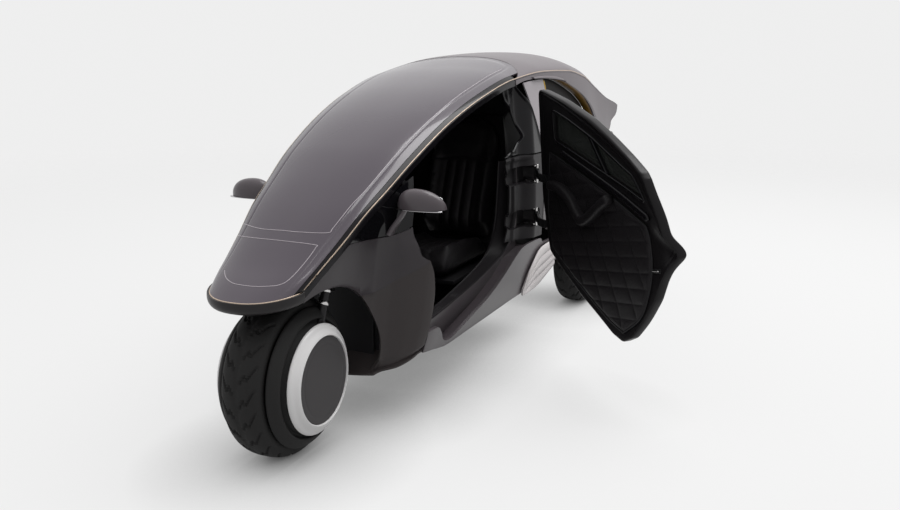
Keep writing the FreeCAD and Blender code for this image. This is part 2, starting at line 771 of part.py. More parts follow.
def tyre_solid(x, y):
    half = tyre_width / 2
    bead = rim_width / 2
    def at(side, radius):
        return V(x, y + side, tyre_radius + radius)
    tread_side = half * tread_side_share
    tread_edge = tyre_radius - tread_crown
    wall_mid = (rim_radius + tread_edge) / 2
    outer_arc = Part.Arc(at(-tread_side, tread_edge), at(0, tyre_radius),
                         at(tread_side, tread_edge)).toShape()
    right_wall = Part.Arc(at(tread_side, tread_edge), at(half, wall_mid),
                          at(bead, rim_radius)).toShape()
    left_wall = Part.Arc(at(-bead, rim_radius), at(-half, wall_mid),
                         at(-tread_side, tread_edge)).toShape()
    base = Part.makeLine(at(bead, rim_radius), at(-bead, rim_radius))
    wire = Part.Wire([outer_arc, right_wall, base, left_wall])
    return Part.Face(wire).revolve(V(x, y, tyre_radius), Y_AXIS, 360)


tread_side_share = 0.88


def rim_solid(x, y, bore):
    half = rim_width / 2
    disc_half = rim_disc_thickness / 2
    inner = rim_radius - rim_barrel_wall
    profile = [
        (-half, rim_radius), (half, rim_radius), (half, inner - rim_lip), (half - rim_lip, inner),
        (disc_half, inner), (disc_half, hub_radius), (hub_half_length, hub_radius),
        (hub_half_length, bore), (-hub_half_length, bore), (-hub_half_length, hub_radius),
        (-disc_half, hub_radius), (-disc_half, inner), (rim_lip - half, inner),
        (-half, inner - rim_lip),
    ]
    return turned(profile, x, y)


nodes["front_tyre"] = tyre_solid(0, 0)
nodes["front_rim"] = rim_solid(0, 0, front_axle_radius + head_play)
for name, side in (("left", rear_wheel_side), ("right", -rear_wheel_side)):
    nodes["rear_tyre_" + name] = tyre_solid(-wheelbase, side)
    nodes["rear_rim_" + name] = rim_solid(-wheelbase, side, rear_spindle_radius + head_play)
rear_disc = cylinder(rear_cover_radius, rear_cover_thickness,
                     V(-wheelbase, rear_wheel_side + hub_half_length, tyre_radius), Y_AXIS)
nodes["rear_rim_left"] = one(nodes["rear_rim_left"].fuse(rear_disc))
nodes["rear_rim_right"] = one(nodes["rear_rim_right"].fuse(mirrored(rear_disc)))

# Rear axle: beam, spindles and two trailing arms that meet the floor pan
beam_half = rear_wheel_side - hub_half_length - running_gap
beam = cylinder(axle_beam_radius, beam_half * 2, V(-wheelbase, -beam_half, tyre_radius), Y_AXIS)
spindle_reach = rear_wheel_side + hub_half_length - running_gap
spindles = cylinder(rear_spindle_radius, spindle_reach * 2,
                    V(-wheelbase, -spindle_reach, tyre_radius), Y_AXIS)
arm_side = floor_half_width - axle_beam_radius
arms = []
for side in (-arm_side, arm_side):
    arms.append(box(-wheelbase, -floor_back - seat_gap, side - axle_beam_radius / 2,
                    side + axle_beam_radius / 2, tyre_radius - axle_beam_radius / 2,
                    tyre_radius + axle_beam_radius / 2))
nodes["rear_axle"] = one(beam.fuse([spindles] + arms))
motor_x = -wheelbase + axle_beam_radius + seat_gap + motor_radius
nodes["motor_block"] = cylinder(motor_radius, motor_half_length * 2,
                                V(motor_x, -motor_half_length, tyre_radius), Y_AXIS)

# Floor pan: a tray with turned up sides, the battery block on it under the seat
tray = box(-floor_front, -floor_back, -floor_half_width, floor_half_width, floor_height,
           floor_height + tub_rise)
tray_room = box(-floor_front + overrun, -floor_back + tub_wall, -floor_half_width + tub_wall,
                floor_half_width - tub_wall, floor_height + floor_thickness,
                floor_height + tub_rise + overrun)
nodes["floor_pan"] = one(tray.cut(tray_room))
battery_front = floor_back - tub_wall - seat_gap - battery_length
battery_top = floor_height + floor_thickness + battery_height
nodes["battery_block"] = box(-battery_front, -battery_front - battery_length,
                             -battery_half_width, battery_half_width,
                             floor_height + floor_thickness, battery_top)

# Sills: closed beams beside the floor pan, stepped where the door's lower edge passes
def side_at(share, height):
    """Half width of the body side at a station and height, found by halving the levels."""
    levels = len(side_station_shares[0][1]) - 1
    knots = []
    for k in range(levels + 1):
        table = [(row[0], row[1][k], row[2][k]) for row in side_station_shares]
        knots.append((k, span(table, share, 1) * body_height, span(table, share, 2)))
    low = 0
    high = levels
    for step in range(halvings):
        middle = (low + high) / 2
        if span(knots, middle, 1) < height:
            low = middle
        else:
            high = middle
    return span(knots, high, 2) * body_half_width


def sill_section(share):
    x = back(share)
    top = span(sill_path_shares, share, 1) * body_height
    step = span(sill_step_shares, share, 1) * body_height
    low = sill_low_share * body_height
    inner = floor_half_width + seat_gap
    face = door_thickness + sill_room
    inset = panel_thickness + sill_room
    return [V(x, inner, top), V(x, side_at(share, top) - face, top),
            V(x, side_at(share, step) - face, step),
            V(x, side_at(share, step) - inset, step), V(x, side_at(share, low) - inset, low),
            V(x, inner, low)]


sill_front_share = 0.2160
sill_back_share = 0.5690
sill_low_share = 0.1700
sections = []
for r in even(sill_rows_count):
    points = sill_section(sill_front_share + r * (sill_back_share - sill_front_share))
    sections.append(Part.makePolygon(points + points[:1]))
sill = Part.makeLoft(sections, True, True)
nodes["sills"] = pair(sill)

# Firewall: flat wall across the car behind the wheel well, out to the flanks
wall_share = (nose_reach + wall_front) / body_length
wall_levels_shares = (0.1700, 0.2500, 0.3500, 0.4500, 0.5400, 0.5900)
right = []
left = []
for h in wall_levels_shares:
    reach = side_at(wall_share, h * body_height) * wall_reach_share - panel_thickness
    left.append(V(back(wall_share), reach, h * body_height))
    right.append(V(back(wall_share), -reach, h * body_height))
points = left + right[::-1]
firewall = Part.Face(Part.makePolygon(points + points[:1])).extrude(V(-bulkhead_wall, 0, 0))
nodes["firewall"] = firewall

# Rear bulkhead: leaning wall behind the seat and the floor pan, up to the roof
wall_low = V(-floor_back - seat_gap, 0, floor_height + tub_rise - tub_wall)
wall_high_share = 0.6180
wall_low_side_share = 0.82
wall_top_side_share = 0.76
wall_top = shell_point(wall_high_share, 0, roof_thickness + seat_gap * 2)


def wall_x(height):
    """X of the rear bulkhead's front face at a height."""
    rise = (height - wall_low.z) / (wall_top.z - wall_low.z)
    return wall_low.x + rise * (wall_top.x - wall_low.x)


bulk_rows = []
for r in even(4):
    z = wall_low.z + r * (wall_top.z - wall_low.z)
    row = []
    for c in even(8):
        q = 2 * c - 1
        half = (wall_low_side_share + r * (wall_top_side_share - wall_low_side_share))
        crown_z = shell_point(wall_high_share, q * wall_top_side_share, roof_thickness).z
        fall = (wall_top.z - crown_z) * r
        row.append(V(wall_x(z), half * body_half_width * q, z - fall - seat_gap * 2))
    bulk_rows.append(row)
rear_bulkhead = slab(bulk_rows, panel_thickness / 2)
nodes["rear_bulkhead"] = one(rear_bulkhead.cut(slab(roof_rows, roof_thickness + seat_gap)))

# Rear deck and fascia close the tail below the ducktail. The deck starts behind the leaning
# bulkhead, so that a load lies flat on all of it
deck_level = deck_level_share * body_height
lean_zone = box(-body_length, 0, -deck_half_width, deck_half_width,
                deck_level - deck_thickness, deck_level + deck_load_room)
wall_back = nodes["rear_bulkhead"].common(lean_zone).optimalBoundingBox(True, False).XMin
deck_front = wall_back - seat_gap
deck_back = back(deck_back_share)
nodes["rear_deck"] = box(deck_front, deck_back, -deck_half_width, deck_half_width,
                         deck_level - deck_thickness, deck_level)
fascia_top = deck_level - deck_thickness - fascia_thickness * fascia_room_share
fascia_drop = fascia_top - fascia_low_share * body_height


def fascia_point(q, height, proud):
    """Point of the rear fascia: bowed back across the car and leaning forward downwards."""
    fall = (fascia_top - height) / body_height
    x = deck_back + lip_height * q * q + fall * fascia_lean_share * body_length - proud
    return V(x, q * fascia_half_width, height)


lip_height = 34.0
fascia_rows = []
lamp_rows = []
for r in even(4):
    height = fascia_top - r * fascia_drop
    fascia_rows.append([fascia_point(2 * c - 1, height, 0) for c in even(8)])
    height = lamp_low_share * body_height + (1 - r) * lamp_height
    lamp_rows.append([fascia_point((2 * c - 1) * lamp_span_share, height, seat_gap)
                      for c in even(8)])
nodes["rear_fascia"] = slab(fascia_rows, fascia_thickness)
nodes["tail_lamp"] = slab(lamp_rows, -lamp_depth)

# Seat: cushion and back on a plinth over the battery


def seat_solid(outline):
    points = [V(back(s), -seat_half_width, h * body_height) for s, h in outline]
    wire = Part.makePolygon(points + points[:1])
    return Part.Face(wire).extrude(V(0, seat_half_width * 2, 0))


nodes["seat_frame"] = seat_solid(seat_frame_shares)
nodes["seat_cushion"] = seat_solid(cushion_outline_shares)
nodes["seat_back"] = seat_solid(back_outline_shares)

# Dashboard, column and yoke
points = [V(-floor_front - s * body_length, -dash_half_width, h * body_height)
          for s, h in dash_outline_shares]
dash = Part.Face(Part.makePolygon(points + points[:1]))
nodes["dashboard"] = dash.extrude(V(0, dash_half_width * 2, 0))
lean = math.radians(column_angle)
column_dir = V(-math.cos(lean), 0, math.sin(lean))
column_base = V(points[3].x - seat_gap - column_radius * math.sin(lean), 0,
                (points[3].z + points[4].z) / 2)
column = cylinder(column_radius, column_length, column_base, column_dir)
hub_at = column_base + column_dir * column_length
yoke = Part.makeTorus(yoke_radius, yoke_tube_radius, hub_at, column_dir)
spoke = box(-column_radius, column_radius, -yoke_radius, yoke_radius, -yoke_tube_radius / 2,
            yoke_tube_radius / 2)
spoke.Placement = FreeCAD.Placement(hub_at, FreeCAD.Rotation(Z_AXIS, column_dir))
nodes["steering_yoke"] = one(yoke.fuse([spoke, column]))

# Mirrors: shell on a stalk at each side, with the glass facing back
seat_grid = [[p + n * seat_gap for p, n in zip(row, line)] for row, line in zip(grid, normals(grid))]
seat_skin = slab(seat_grid, -panel_thickness)


def mirror_parts():
    x = -mirror_back
    z = mirror_base_height + mirror_height / 2
    near = mirror_inner_side
    far = mirror_inner_side + mirror_length
    shape_shares = ((0, 0.30), (0.12, 0.86), (0.40, 1.0), (0.75, 0.80), (1.0, 0.34))
    rings = []
    for along, size in shape_shares:
        y = near + along * (far - near)
        half = mirror_height / 2 * size
        front = x + mirror_depth * size
        pts = [V(x, y, z - half), V(front - mirror_depth * size / 4, y, z - half),
               V(front, y, z - half / 3), V(front - mirror_depth * size / 4, y, z + half * 0.8),
               V(x, y, z + half)]
        rings.append(Part.makePolygon(pts + pts[:1]))
    shell = Part.makeLoft(rings, True, False)
    stalk_x = x + mirror_depth / 3
    foot_z = mirror_base_height - mirror_height
    foot_side = side_at((nose_reach - stalk_x) / body_length, foot_z) - panel_thickness / 2
    foot = V(stalk_x, foot_side, foot_z)
    head = V(stalk_x, near + mirror_length / 3, z)
    stalk = cylinder(mirror_stalk_radius, (head - foot).Length, foot, head - foot)
    glass = box(x - mirror_glass_thickness - seat_gap, x - seat_gap,
                near + mirror_length * 0.16, far - mirror_length * 0.20,
                z - mirror_height * 0.34, z + mirror_height * 0.34)
    return one(shell.fuse(stalk).cut(seat_skin)), glass


mirror_body, mirror_glass = mirror_parts()
nodes["mirrors"] = pair(mirror_body)
nodes["mirror_glasses"] = pair(mirror_glass)

# Frame: the origin goes to the bottom centre of the whole car's box
whole = FreeCAD.BoundBox()
for shape in nodes.values():
    whole.add(shape.optimalBoundingBox(True, False))
shift = V(-(whole.XMin + whole.XMax) / 2, -(whole.YMin + whole.YMax) / 2, 0)
os.makedirs("parts", exist_ok=True)
for name, shape in nodes.items():
    placed = shape.copy()
    placed.translate(shift)
    placed.exportStep("parts/" + name + ".step")
    print(name, len(placed.Solids), placed.isValid(), round(placed.Volume / 1000))
print("box", whole, "shift", shift)
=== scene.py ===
import math
import bmesh
import bpy
import numpy as np
from mathutils import Matrix, Vector


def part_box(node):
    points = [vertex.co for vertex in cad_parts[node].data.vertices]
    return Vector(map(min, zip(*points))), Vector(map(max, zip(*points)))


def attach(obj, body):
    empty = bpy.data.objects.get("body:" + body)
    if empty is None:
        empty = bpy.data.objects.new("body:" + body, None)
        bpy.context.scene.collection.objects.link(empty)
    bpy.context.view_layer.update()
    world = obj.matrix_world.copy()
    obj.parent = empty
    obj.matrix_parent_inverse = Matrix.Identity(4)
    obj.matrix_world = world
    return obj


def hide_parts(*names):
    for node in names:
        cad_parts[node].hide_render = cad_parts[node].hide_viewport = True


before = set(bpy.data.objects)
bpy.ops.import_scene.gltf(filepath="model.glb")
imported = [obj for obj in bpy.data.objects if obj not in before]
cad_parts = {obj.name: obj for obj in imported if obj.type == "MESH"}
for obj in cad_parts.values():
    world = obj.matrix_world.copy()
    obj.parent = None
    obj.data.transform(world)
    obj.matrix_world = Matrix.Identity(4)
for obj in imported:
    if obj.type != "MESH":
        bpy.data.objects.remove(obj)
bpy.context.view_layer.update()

# Vehicle datum, in metres: X forward, Y to the left, Z up, with zero on the floor under the
# front axle. The front tyre's centre gives its place in the frame.
tyre_low, tyre_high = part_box("front_tyre")
datum = np.array([(tyre_low.x + tyre_high.x) / 2, (tyre_low.y + tyre_high.y) / 2, 0.0])

# Camera: a standing viewer ahead of the car and to its left, looking down a little.
# The place is on the vehicle datum, and the lens fits a frame 900 wide.
camera_place = np.array([2.795, 1.878, 1.536]) + datum
camera_right = np.array([-0.3930, 0.9195, 0.0])
camera_up = np.array([-0.2062, -0.0881, 0.9745])
camera_back = np.cross(camera_right, camera_up)
lens_pixels = 920.0
photo_width = 900.0
sensor = 36.0
camera_data = bpy.data.cameras.new("camera")
camera_data.sensor_width = sensor
camera_data.lens = lens_pixels / photo_width * sensor
camera = bpy.data.objects.new("camera", camera_data)
bpy.context.scene.collection.objects.link(camera)
turn = Matrix([camera_right, camera_up, camera_back]).transposed()
camera.matrix_world = Matrix.Translation(camera_place.tolist()) @ turn.to_4x4()
bpy.context.scene.camera = camera
bpy.context.scene.view_settings.view_transform = "Standard"

# Studio: a room that is pale to the eye and lights the car from above, dim towards the horizon,
# and one large softbox above and behind the car on its left.
room_tone = (0.86, 0.86, 0.86, 1.0)
light_low, light_high = 0.06, 1.20
light_from, light_to = 0.08, 0.95
softbox_size = 5.0
softbox_power = 340.0
softbox_place = Vector((-1.8, 1.8, 6.4))
softbox_aim = Vector((-0.2, 0.0, 0.7))
world = bpy.data.worlds.new("studio")
bpy.context.scene.world = world
world.use_nodes = True
tree = world.node_tree
tree.nodes.clear()
paths = tree.nodes.new("ShaderNodeLightPath")
seen = tree.nodes.new("ShaderNodeMath")
seen.operation = "MAXIMUM"
seen_all = tree.nodes.new("ShaderNodeMath")
seen_all.operation = "MAXIMUM"
direction = tree.nodes.new("ShaderNodeTexCoord")
split = tree.nodes.new("ShaderNodeSeparateXYZ")
rise = tree.nodes.new("ShaderNodeMapRange")
rise.interpolation_type = "SMOOTHSTEP"
rise.inputs["From Min"].default_value = light_from
rise.inputs["From Max"].default_value = light_to
rise.inputs["To Min"].default_value = light_low
rise.inputs["To Max"].default_value = light_high
soft = tree.nodes.new("ShaderNodeBackground")
soft.inputs["Color"].default_value = (1.0, 1.0, 1.0, 1.0)
tree.links.new(direction.outputs["Generated"], split.inputs[0])
tree.links.new(split.outputs["Z"], rise.inputs["Value"])
tree.links.new(rise.outputs[0], soft.inputs["Strength"])
pale = tree.nodes.new("ShaderNodeBackground")
pale.inputs["Color"].default_value = room_tone
blend = tree.nodes.new("ShaderNodeMixShader")
out = tree.nodes.new("ShaderNodeOutputWorld")
tree.links.new(paths.outputs["Is Camera Ray"], seen.inputs[0])
tree.links.new(paths.outputs["Is Transmission Ray"], seen.inputs[1])
tree.links.new(seen.outputs[0], seen_all.inputs[0])
tree.links.new(paths.outputs["Is Glossy Ray"], seen_all.inputs[1])
tree.links.new(seen_all.outputs[0], blend.inputs[0])
tree.links.new(soft.outputs[0], blend.inputs[1])
tree.links.new(pale.outputs[0], blend.inputs[2])
tree.links.new(blend.outputs[0], out.inputs["Surface"])

softbox_data = bpy.data.lights.new("softbox", "AREA")
softbox_data.shape = "SQUARE"
softbox_data.size = softbox_size
softbox_data.energy = softbox_power
softbox = bpy.data.objects.new("softbox", softbox_data)
bpy.context.scene.collection.objects.link(softbox)
softbox.location = softbox_place
softbox.rotation_euler = (softbox_aim - softbox_place).to_track_quat("-Z", "Y").to_euler()


# Floor: pale and matt. To the eye and to reflections most of it is the room's own tone, with a
# painted contact shadow where something stands close above it, and the rest keeps the car's
# shadow. To other light it is a matt grey. It fades into the room before its edge.
floor_reach = 14.0
floor_fade_start = 5.0
floor_fade_end = 11.0
shade_reach = 0.42
shadow_share = 0.20
pale_floor = (0.80, 0.80, 0.80, 1.0)
grey_floor = (0.42, 0.42, 0.42, 1.0)
floor_data = bpy.data.meshes.new("floor")
floor_data.from_pydata([(-floor_reach, -floor_reach, 0), (floor_reach, -floor_reach, 0),
                        (floor_reach, floor_reach, 0), (-floor_reach, floor_reach, 0)],
                       [], [(0, 1, 2, 3)])
floor = bpy.data.objects.new("floor", floor_data)
bpy.context.scene.collection.objects.link(floor)
floor_material = bpy.data.materials.new("studio floor")
floor_material.use_nodes = True
tree = floor_material.node_tree
tree.nodes.clear()
place = tree.nodes.new("ShaderNodeTexCoord")
distance = tree.nodes.new("ShaderNodeVectorMath")
distance.operation = "LENGTH"
fade = tree.nodes.new("ShaderNodeMapRange")
fade.interpolation_type = "SMOOTHSTEP"
fade.inputs["From Min"].default_value = floor_fade_start
fade.inputs["From Max"].default_value = floor_fade_end
matt = tree.nodes.new("ShaderNodeBsdfDiffuse")
matt.inputs["Color"].default_value = grey_floor
shadowed = tree.nodes.new("ShaderNodeBsdfDiffuse")
shadowed.inputs["Color"].default_value = pale_floor
# Painted contact shadow: occlusion darkens the floor's own glow where something stands close above
# it.
shade = tree.nodes.new("ShaderNodeAmbientOcclusion")
shade.samples = 16
shade.inputs["Color"].default_value = room_tone
shade.inputs["Distance"].default_value = shade_reach
glow = tree.nodes.new("ShaderNodeEmission")
lit = tree.nodes.new("ShaderNodeMixShader")
lit.inputs[0].default_value = shadow_share
floor_paths = tree.nodes.new("ShaderNodeLightPath")
floor_seen = tree.nodes.new("ShaderNodeMath")
floor_seen.operation = "MAXIMUM"
floor_seen_all = tree.nodes.new("ShaderNodeMath")
floor_seen_all.operation = "MAXIMUM"
to_eye = tree.nodes.new("ShaderNodeMixShader")
clear = tree.nodes.new("ShaderNodeBsdfTransparent")
to_room = tree.nodes.new("ShaderNodeMixShader")
out = tree.nodes.new("ShaderNodeOutputMaterial")
tree.links.new(place.outputs["Object"], distance.inputs[0])
tree.links.new(distance.outputs["Value"], fade.inputs["Value"])
tree.links.new(shade.outputs["Color"], glow.inputs["Color"])
tree.links.new(glow.outputs[0], lit.inputs[1])
tree.links.new(shadowed.outputs[0], lit.inputs[2])
tree.links.new(floor_paths.outputs["Is Camera Ray"], floor_seen.inputs[0])
tree.links.new(floor_paths.outputs["Is Transmission Ray"], floor_seen.inputs[1])
tree.links.new(floor_seen.outputs[0], floor_seen_all.inputs[0])
tree.links.new(floor_paths.outputs["Is Glossy Ray"], floor_seen_all.inputs[1])
tree.links.new(floor_seen_all.outputs[0], to_eye.inputs[0])
tree.links.new(matt.outputs[0], to_eye.inputs[1])
tree.links.new(lit.outputs[0], to_eye.inputs[2])
tree.links.new(fade.outputs[0], to_room.inputs[0])
tree.links.new(to_eye.outputs[0], to_room.inputs[1])
tree.links.new(clear.outputs[0], to_room.inputs[2])
tree.links.new(to_room.outputs[0], out.inputs["Surface"])
floor.data.materials.append(floor_material)

# Screen: one long panel of tinted gloss from the nose to the roof seam, formed in a mould from one
# sheet and bonded to the side rails. A soft fold is pressed into it along both sides and round
# its top, and the strip outside the fold is rolled.

# Stations of the arched shell: back from the nose tip as shares of the length, with the half
# width, the edge height and the crown height as shares of the body's, and the crown's run ahead.
body_length = 3.700
body_height = 1.486
body_half_width = 0.440
nose_reach = 0.302
arch_stations = np.array((
    (0.0440, 0.418, 0.4623, 0.4500, 0.540),
    (0.0575, 0.448, 0.4860, 0.4745, 0.480),
    (0.0762, 0.480, 0.5148, 0.5100, 0.365),
    (0.1016, 0.523, 0.5532, 0.5640, 0.245),
    (0.1376, 0.584, 0.6130, 0.6330, 0.155),
    (0.1730, 0.632, 0.6588, 0.6920, 0.092),
    (0.2238, 0.693, 0.7261, 0.7610, 0.053),
    (0.3073, 0.761, 0.8129, 0.8480, 0.017),
    (0.3868, 0.818, 0.8708, 0.9070, 0.000),
    (0.4797, 0.875, 0.9159, 0.9550, 0.000),
    (0.5951, 0.920, 0.9341, 0.9930, 0.000),
    (0.7032, 0.955, 0.9287, 1.0000, 0.000),
    (0.7843, 0.982, 0.9020, 0.9790, 0.000),
    (0.8519, 1.011, 0.8490, 0.9220, 0.000),
    (0.9195, 1.034, 0.8010, 0.8450, 0.000),
    (0.9735, 1.057, 0.7740, 0.7910, 0.000),
    (1.0000, 1.068, 0.7500, 0.7600, 0.000),
))
crown_power = 2.37
shoulder_power = 0.625
seam_edge = 0.4870
seam_bow = 0.0810
first_station = 0.0440
screen_half = 0.930
screen_wall = 0.010
panel_gap = 0.003


def smooth(keys, values, x):
    """Cubic through the keys that never overshoots: each slope is the harmonic mean of the
    two rates beside it, and zero where they differ in sign."""
    keys = np.asarray(keys, float)
    values = np.asarray(values, float)
    x = np.asarray(x, float)
    spread = (slice(None),) + (None,) * (values.ndim - 1)
    step = np.diff(keys)
    rate = np.diff(values, axis=0) / step[spread]
    before, after = rate[:-1], rate[1:]
    total = np.where(before + after == 0, 1, before + after)
    inner = np.where(before * after > 0, 2 * before * after / total, 0)
    slope = np.concatenate([rate[:1], inner, rate[-1:]])
    i = np.clip(np.searchsorted(keys, x) - 1, 0, len(keys) - 2)
    width = step[i]
    u = (x - keys[i]) / width
    if values.ndim > 1:
        width = width[..., None]
        u = u[..., None]
    return ((2 * u**3 - 3 * u**2 + 1) * values[i] + (u**3 - 2 * u**2 + u) * width * slope[i]
            + (3 * u**2 - 2 * u**3) * values[i + 1] + (u**3 - u**2) * width * slope[i + 1])


def shell(share, q):
    """Arched shell: edge height plus the crown's rise times a superellipse across, with q from
    minus one to one, and the crown bowed ahead near the nose."""
    share, q = np.broadcast_arrays(np.asarray(share, float), np.asarray(q, float))
    half, edge, crown, bow = np.moveaxis(smooth(arch_stations[:, 0], arch_stations[:, 1:], share),
                                         -1, 0)
    full = np.maximum(1 - np.abs(q) ** crown_power, 0) ** shoulder_power
    return np.stack([nose_reach - share * body_length + np.maximum(bow, 0) * nose_reach * full,
                     half * body_half_width * q,
                     (edge + (crown - edge) * full) * body_height], -1)


def seam(q):
    """Station of the roof seam, which bows back from the edges to the crown."""
    full = np.maximum(1 - np.abs(q) ** crown_power, 0) ** shoulder_power
    return seam_edge + seam_bow * full


def normals_of(points):
    """Unit normals of a grid of points, from the crossed steps along and across it."""
    along = np.gradient(points, axis=0)
    across = np.gradient(points, axis=1)
    crossed = np.cross(along, across)
    return crossed / np.maximum(np.linalg.norm(crossed, axis=-1, keepdims=True), 1e-12)


def spread_across(count):
    """Values from minus one to one, closer together near the ends, where the shell bends."""
    return np.sin(np.linspace(-0.5, 0.5, count) * np.pi)


def grid_faces(rows, columns, around=False, across=False):
    """Quads of a grid of points, row by row. A closed direction joins its last line to its
    first one."""
    i = np.arange(rows if across else rows - 1)[:, None]
    j = np.arange(columns if around else columns - 1)[None, :]
    i2 = (i + 1) % rows
    j2 = (j + 1) % columns
    quads = [i * columns + j, i * columns + j2, i2 * columns + j2, i2 * columns + j]
    return np.stack([q + 0 * (i + j) for q in quads], -1).reshape(-1, 4)


def slab(points, wall, flip=False):
    """Closed wall between a grid and its offset along the normals: two skins and a rim."""
    rows, columns = points.shape[:2]
    offset = points + normals_of(points) * (wall if not flip else -wall)
    skin = grid_faces(rows, columns)
    count = rows * columns
    top = np.arange(columns)
    right = np.arange(rows) * columns + columns - 1
    bottom = (rows - 1) * columns + np.arange(columns)[::-1]
    left = np.arange(rows)[::-1] * columns
    loop = np.concatenate([top[:-1], right[:-1], bottom[:-1], left[:-1]])
    after = np.roll(loop, -1)
    rim = np.stack([loop, loop + count, after + count, after], -1)
    return (np.concatenate([points.reshape(-1, 3), offset.reshape(-1, 3)]),
            np.concatenate([skin, skin[:, ::-1] + count, rim]))


def facing_out(made):
    """Turns a closed mesh's faces outwards."""
    work = bmesh.new()
    work.from_mesh(made.data)
    bmesh.ops.recalc_face_normals(work, faces=work.faces[:])
    work.to_mesh(made.data)
    work.free()
    made.data.shade_smooth()
    return made


def piece(name, points, quads, material, body, replaced=()):
    """Mesh object on a body from an array of points on the vehicle datum and its quads."""
    points = np.asarray(points, float).reshape(-1, 3) + datum
    quads = np.asarray(quads, int)
    mesh = bpy.data.meshes.new(name)
    mesh.from_pydata(points.tolist(), [], quads.tolist())
    mesh.update()
    mesh.shade_smooth()
    made = bpy.data.objects.new(name, mesh)
    bpy.context.scene.collection.objects.link(made)
    made.data.materials.append(material)
    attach(made, body)
    if replaced:
        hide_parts(*replaced)
    return made


def rounded(made, width, segments=3, angle=35.0):
    """Small rounding on the sharp edges of a piece, which catches the light."""
    bevel = made.modifiers.new("rounded edges", "BEVEL")
    bevel.width = width
    bevel.segments = segments
    bevel.limit_method = "ANGLE"
    bevel.angle_limit = math.radians(angle)
    bevel.harden_normals = True
    return made


def group_of(name, inputs, outputs):
    """Empty shader node group with named inputs and outputs, and its two end nodes."""
    group = bpy.data.node_groups.new(name, "ShaderNodeTree")
    for title, kind, value in inputs:
        socket = group.interface.new_socket(title, in_out="INPUT", socket_type=kind)
        socket.default_value = value
    for title, kind in outputs:
        group.interface.new_socket(title, in_out="OUTPUT", socket_type=kind)
    return group, group.nodes.new("NodeGroupInput"), group.nodes.new("NodeGroupOutput")


# Grain: noise in object space, as a soft mask for colour and gloss and a height for relief
grain_group, grain_in, grain_out = group_of(
    "grain",
    [("Scale", "NodeSocketFloat", 60.0), ("Stretch", "NodeSocketVector", (1.0, 1.0, 1.0)),
     ("Detail", "NodeSocketFloat", 3.0)],
    [("Mask", "NodeSocketFloat"), ("Height", "NodeSocketFloat")])
grain_coordinates = grain_group.nodes.new("ShaderNodeTexCoord")
grain_mapping = grain_group.nodes.new("ShaderNodeVectorMath")
grain_mapping.operation = "MULTIPLY"
grain_noise = grain_group.nodes.new("ShaderNodeTexNoise")
grain_soft = grain_group.nodes.new("ShaderNodeTexNoise")
grain_soft.inputs["Scale"].default_value = 2.6
grain_links = grain_group.links
grain_links.new(grain_coordinates.outputs["Object"], grain_mapping.inputs[0])
grain_links.new(grain_in.outputs["Stretch"], grain_mapping.inputs[1])
grain_links.new(grain_mapping.outputs[0], grain_noise.inputs["Vector"])
grain_links.new(grain_coordinates.outputs["Object"], grain_soft.inputs["Vector"])
grain_links.new(grain_in.outputs["Scale"], grain_noise.inputs["Scale"])
grain_links.new(grain_in.outputs["Detail"], grain_noise.inputs["Detail"])
grain_links.new(grain_soft.outputs["Fac"], grain_out.inputs["Mask"])
grain_links.new(grain_noise.outputs["Fac"], grain_out.inputs["Height"])


plain_specular = 0.22
bump_strength = 0.35


def finish(name, dark, light, rough, relief=0.0, scale=60.0, stretch=(1.0, 1.0, 1.0),
           group=grain_group, **sockets):
    """Material whose colour and gloss drift softly between two values, over fine relief."""
    material = bpy.data.materials.new(name)
    material.use_nodes = True
    tree = material.node_tree
    shader = tree.nodes["Principled BSDF"]
    source = tree.nodes.new("ShaderNodeGroup")
    source.node_tree = group
    source.inputs["Scale"].default_value = scale
    if "Stretch" in source.inputs:
        source.inputs["Stretch"].default_value = stretch
    colours = tree.nodes.new("ShaderNodeMix")
    colours.data_type = "RGBA"
    colours.inputs["A"].default_value = (*dark, 1.0)
    colours.inputs["B"].default_value = (*light, 1.0)
    gloss = tree.nodes.new("ShaderNodeMapRange")
    gloss.inputs["To Min"].default_value = rough[0]
    gloss.inputs["To Max"].default_value = rough[1]
    tree.links.new(source.outputs["Mask"], colours.inputs["Factor"])
    tree.links.new(source.outputs["Mask"], gloss.inputs["Value"])
    tree.links.new(colours.outputs["Result"], shader.inputs["Base Color"])
    tree.links.new(gloss.outputs[0], shader.inputs["Roughness"])
    if relief:
        bump = tree.nodes.new("ShaderNodeBump")
        bump.inputs["Strength"].default_value = bump_strength
        bump.inputs["Distance"].default_value = relief
        tree.links.new(source.outputs["Height"], bump.inputs["Height"])
        tree.links.new(bump.outputs[0], shader.inputs["Normal"])
    shader.inputs["Specular IOR Level"].default_value = plain_specular
    for title, value in sockets.items():
        shader.inputs[title.replace("_", " ")].default_value = value
    return material


screen_gloss = finish("mauve gloss panel", (0.060, 0.048, 0.063), (0.076, 0.062, 0.078),
                      (0.20, 0.26), Coat_Weight=0.5, Coat_Roughness=0.05,
                      Specular_IOR_Level=0.30)
fold_side = 0.800
fold_top = 0.985
fold_corner = 16.0
fold_width = 0.016
fold_depth = 0.0028
fold_start, fold_run = 0.05, 0.08
screen_edge = 0.0025
screen_rows = 200
screen_columns = 120
across = spread_across(screen_columns) * screen_half
along = np.linspace(0, 1, screen_rows)[:, None]
stations = first_station + along * (seam(across) - panel_gap / 2 / body_length - first_station)
screen = shell(stations, across[None, :])
top_share = (stations - first_station) / (seam(across) - first_station)
fold_line = ((np.abs(across)[None, :] / fold_side) ** fold_corner
             + (top_share / fold_top) ** fold_corner) ** (1 / fold_corner)
fold_fade = np.clip((stations - fold_start) / fold_run, 0, 1)
dip = fold_depth * np.exp(-((fold_line - 1) / fold_width) ** 2) * fold_fade
out_side = np.sign(normals_of(screen)[..., 2:3])
screen = screen - normals_of(screen) * out_side * dip[..., None]
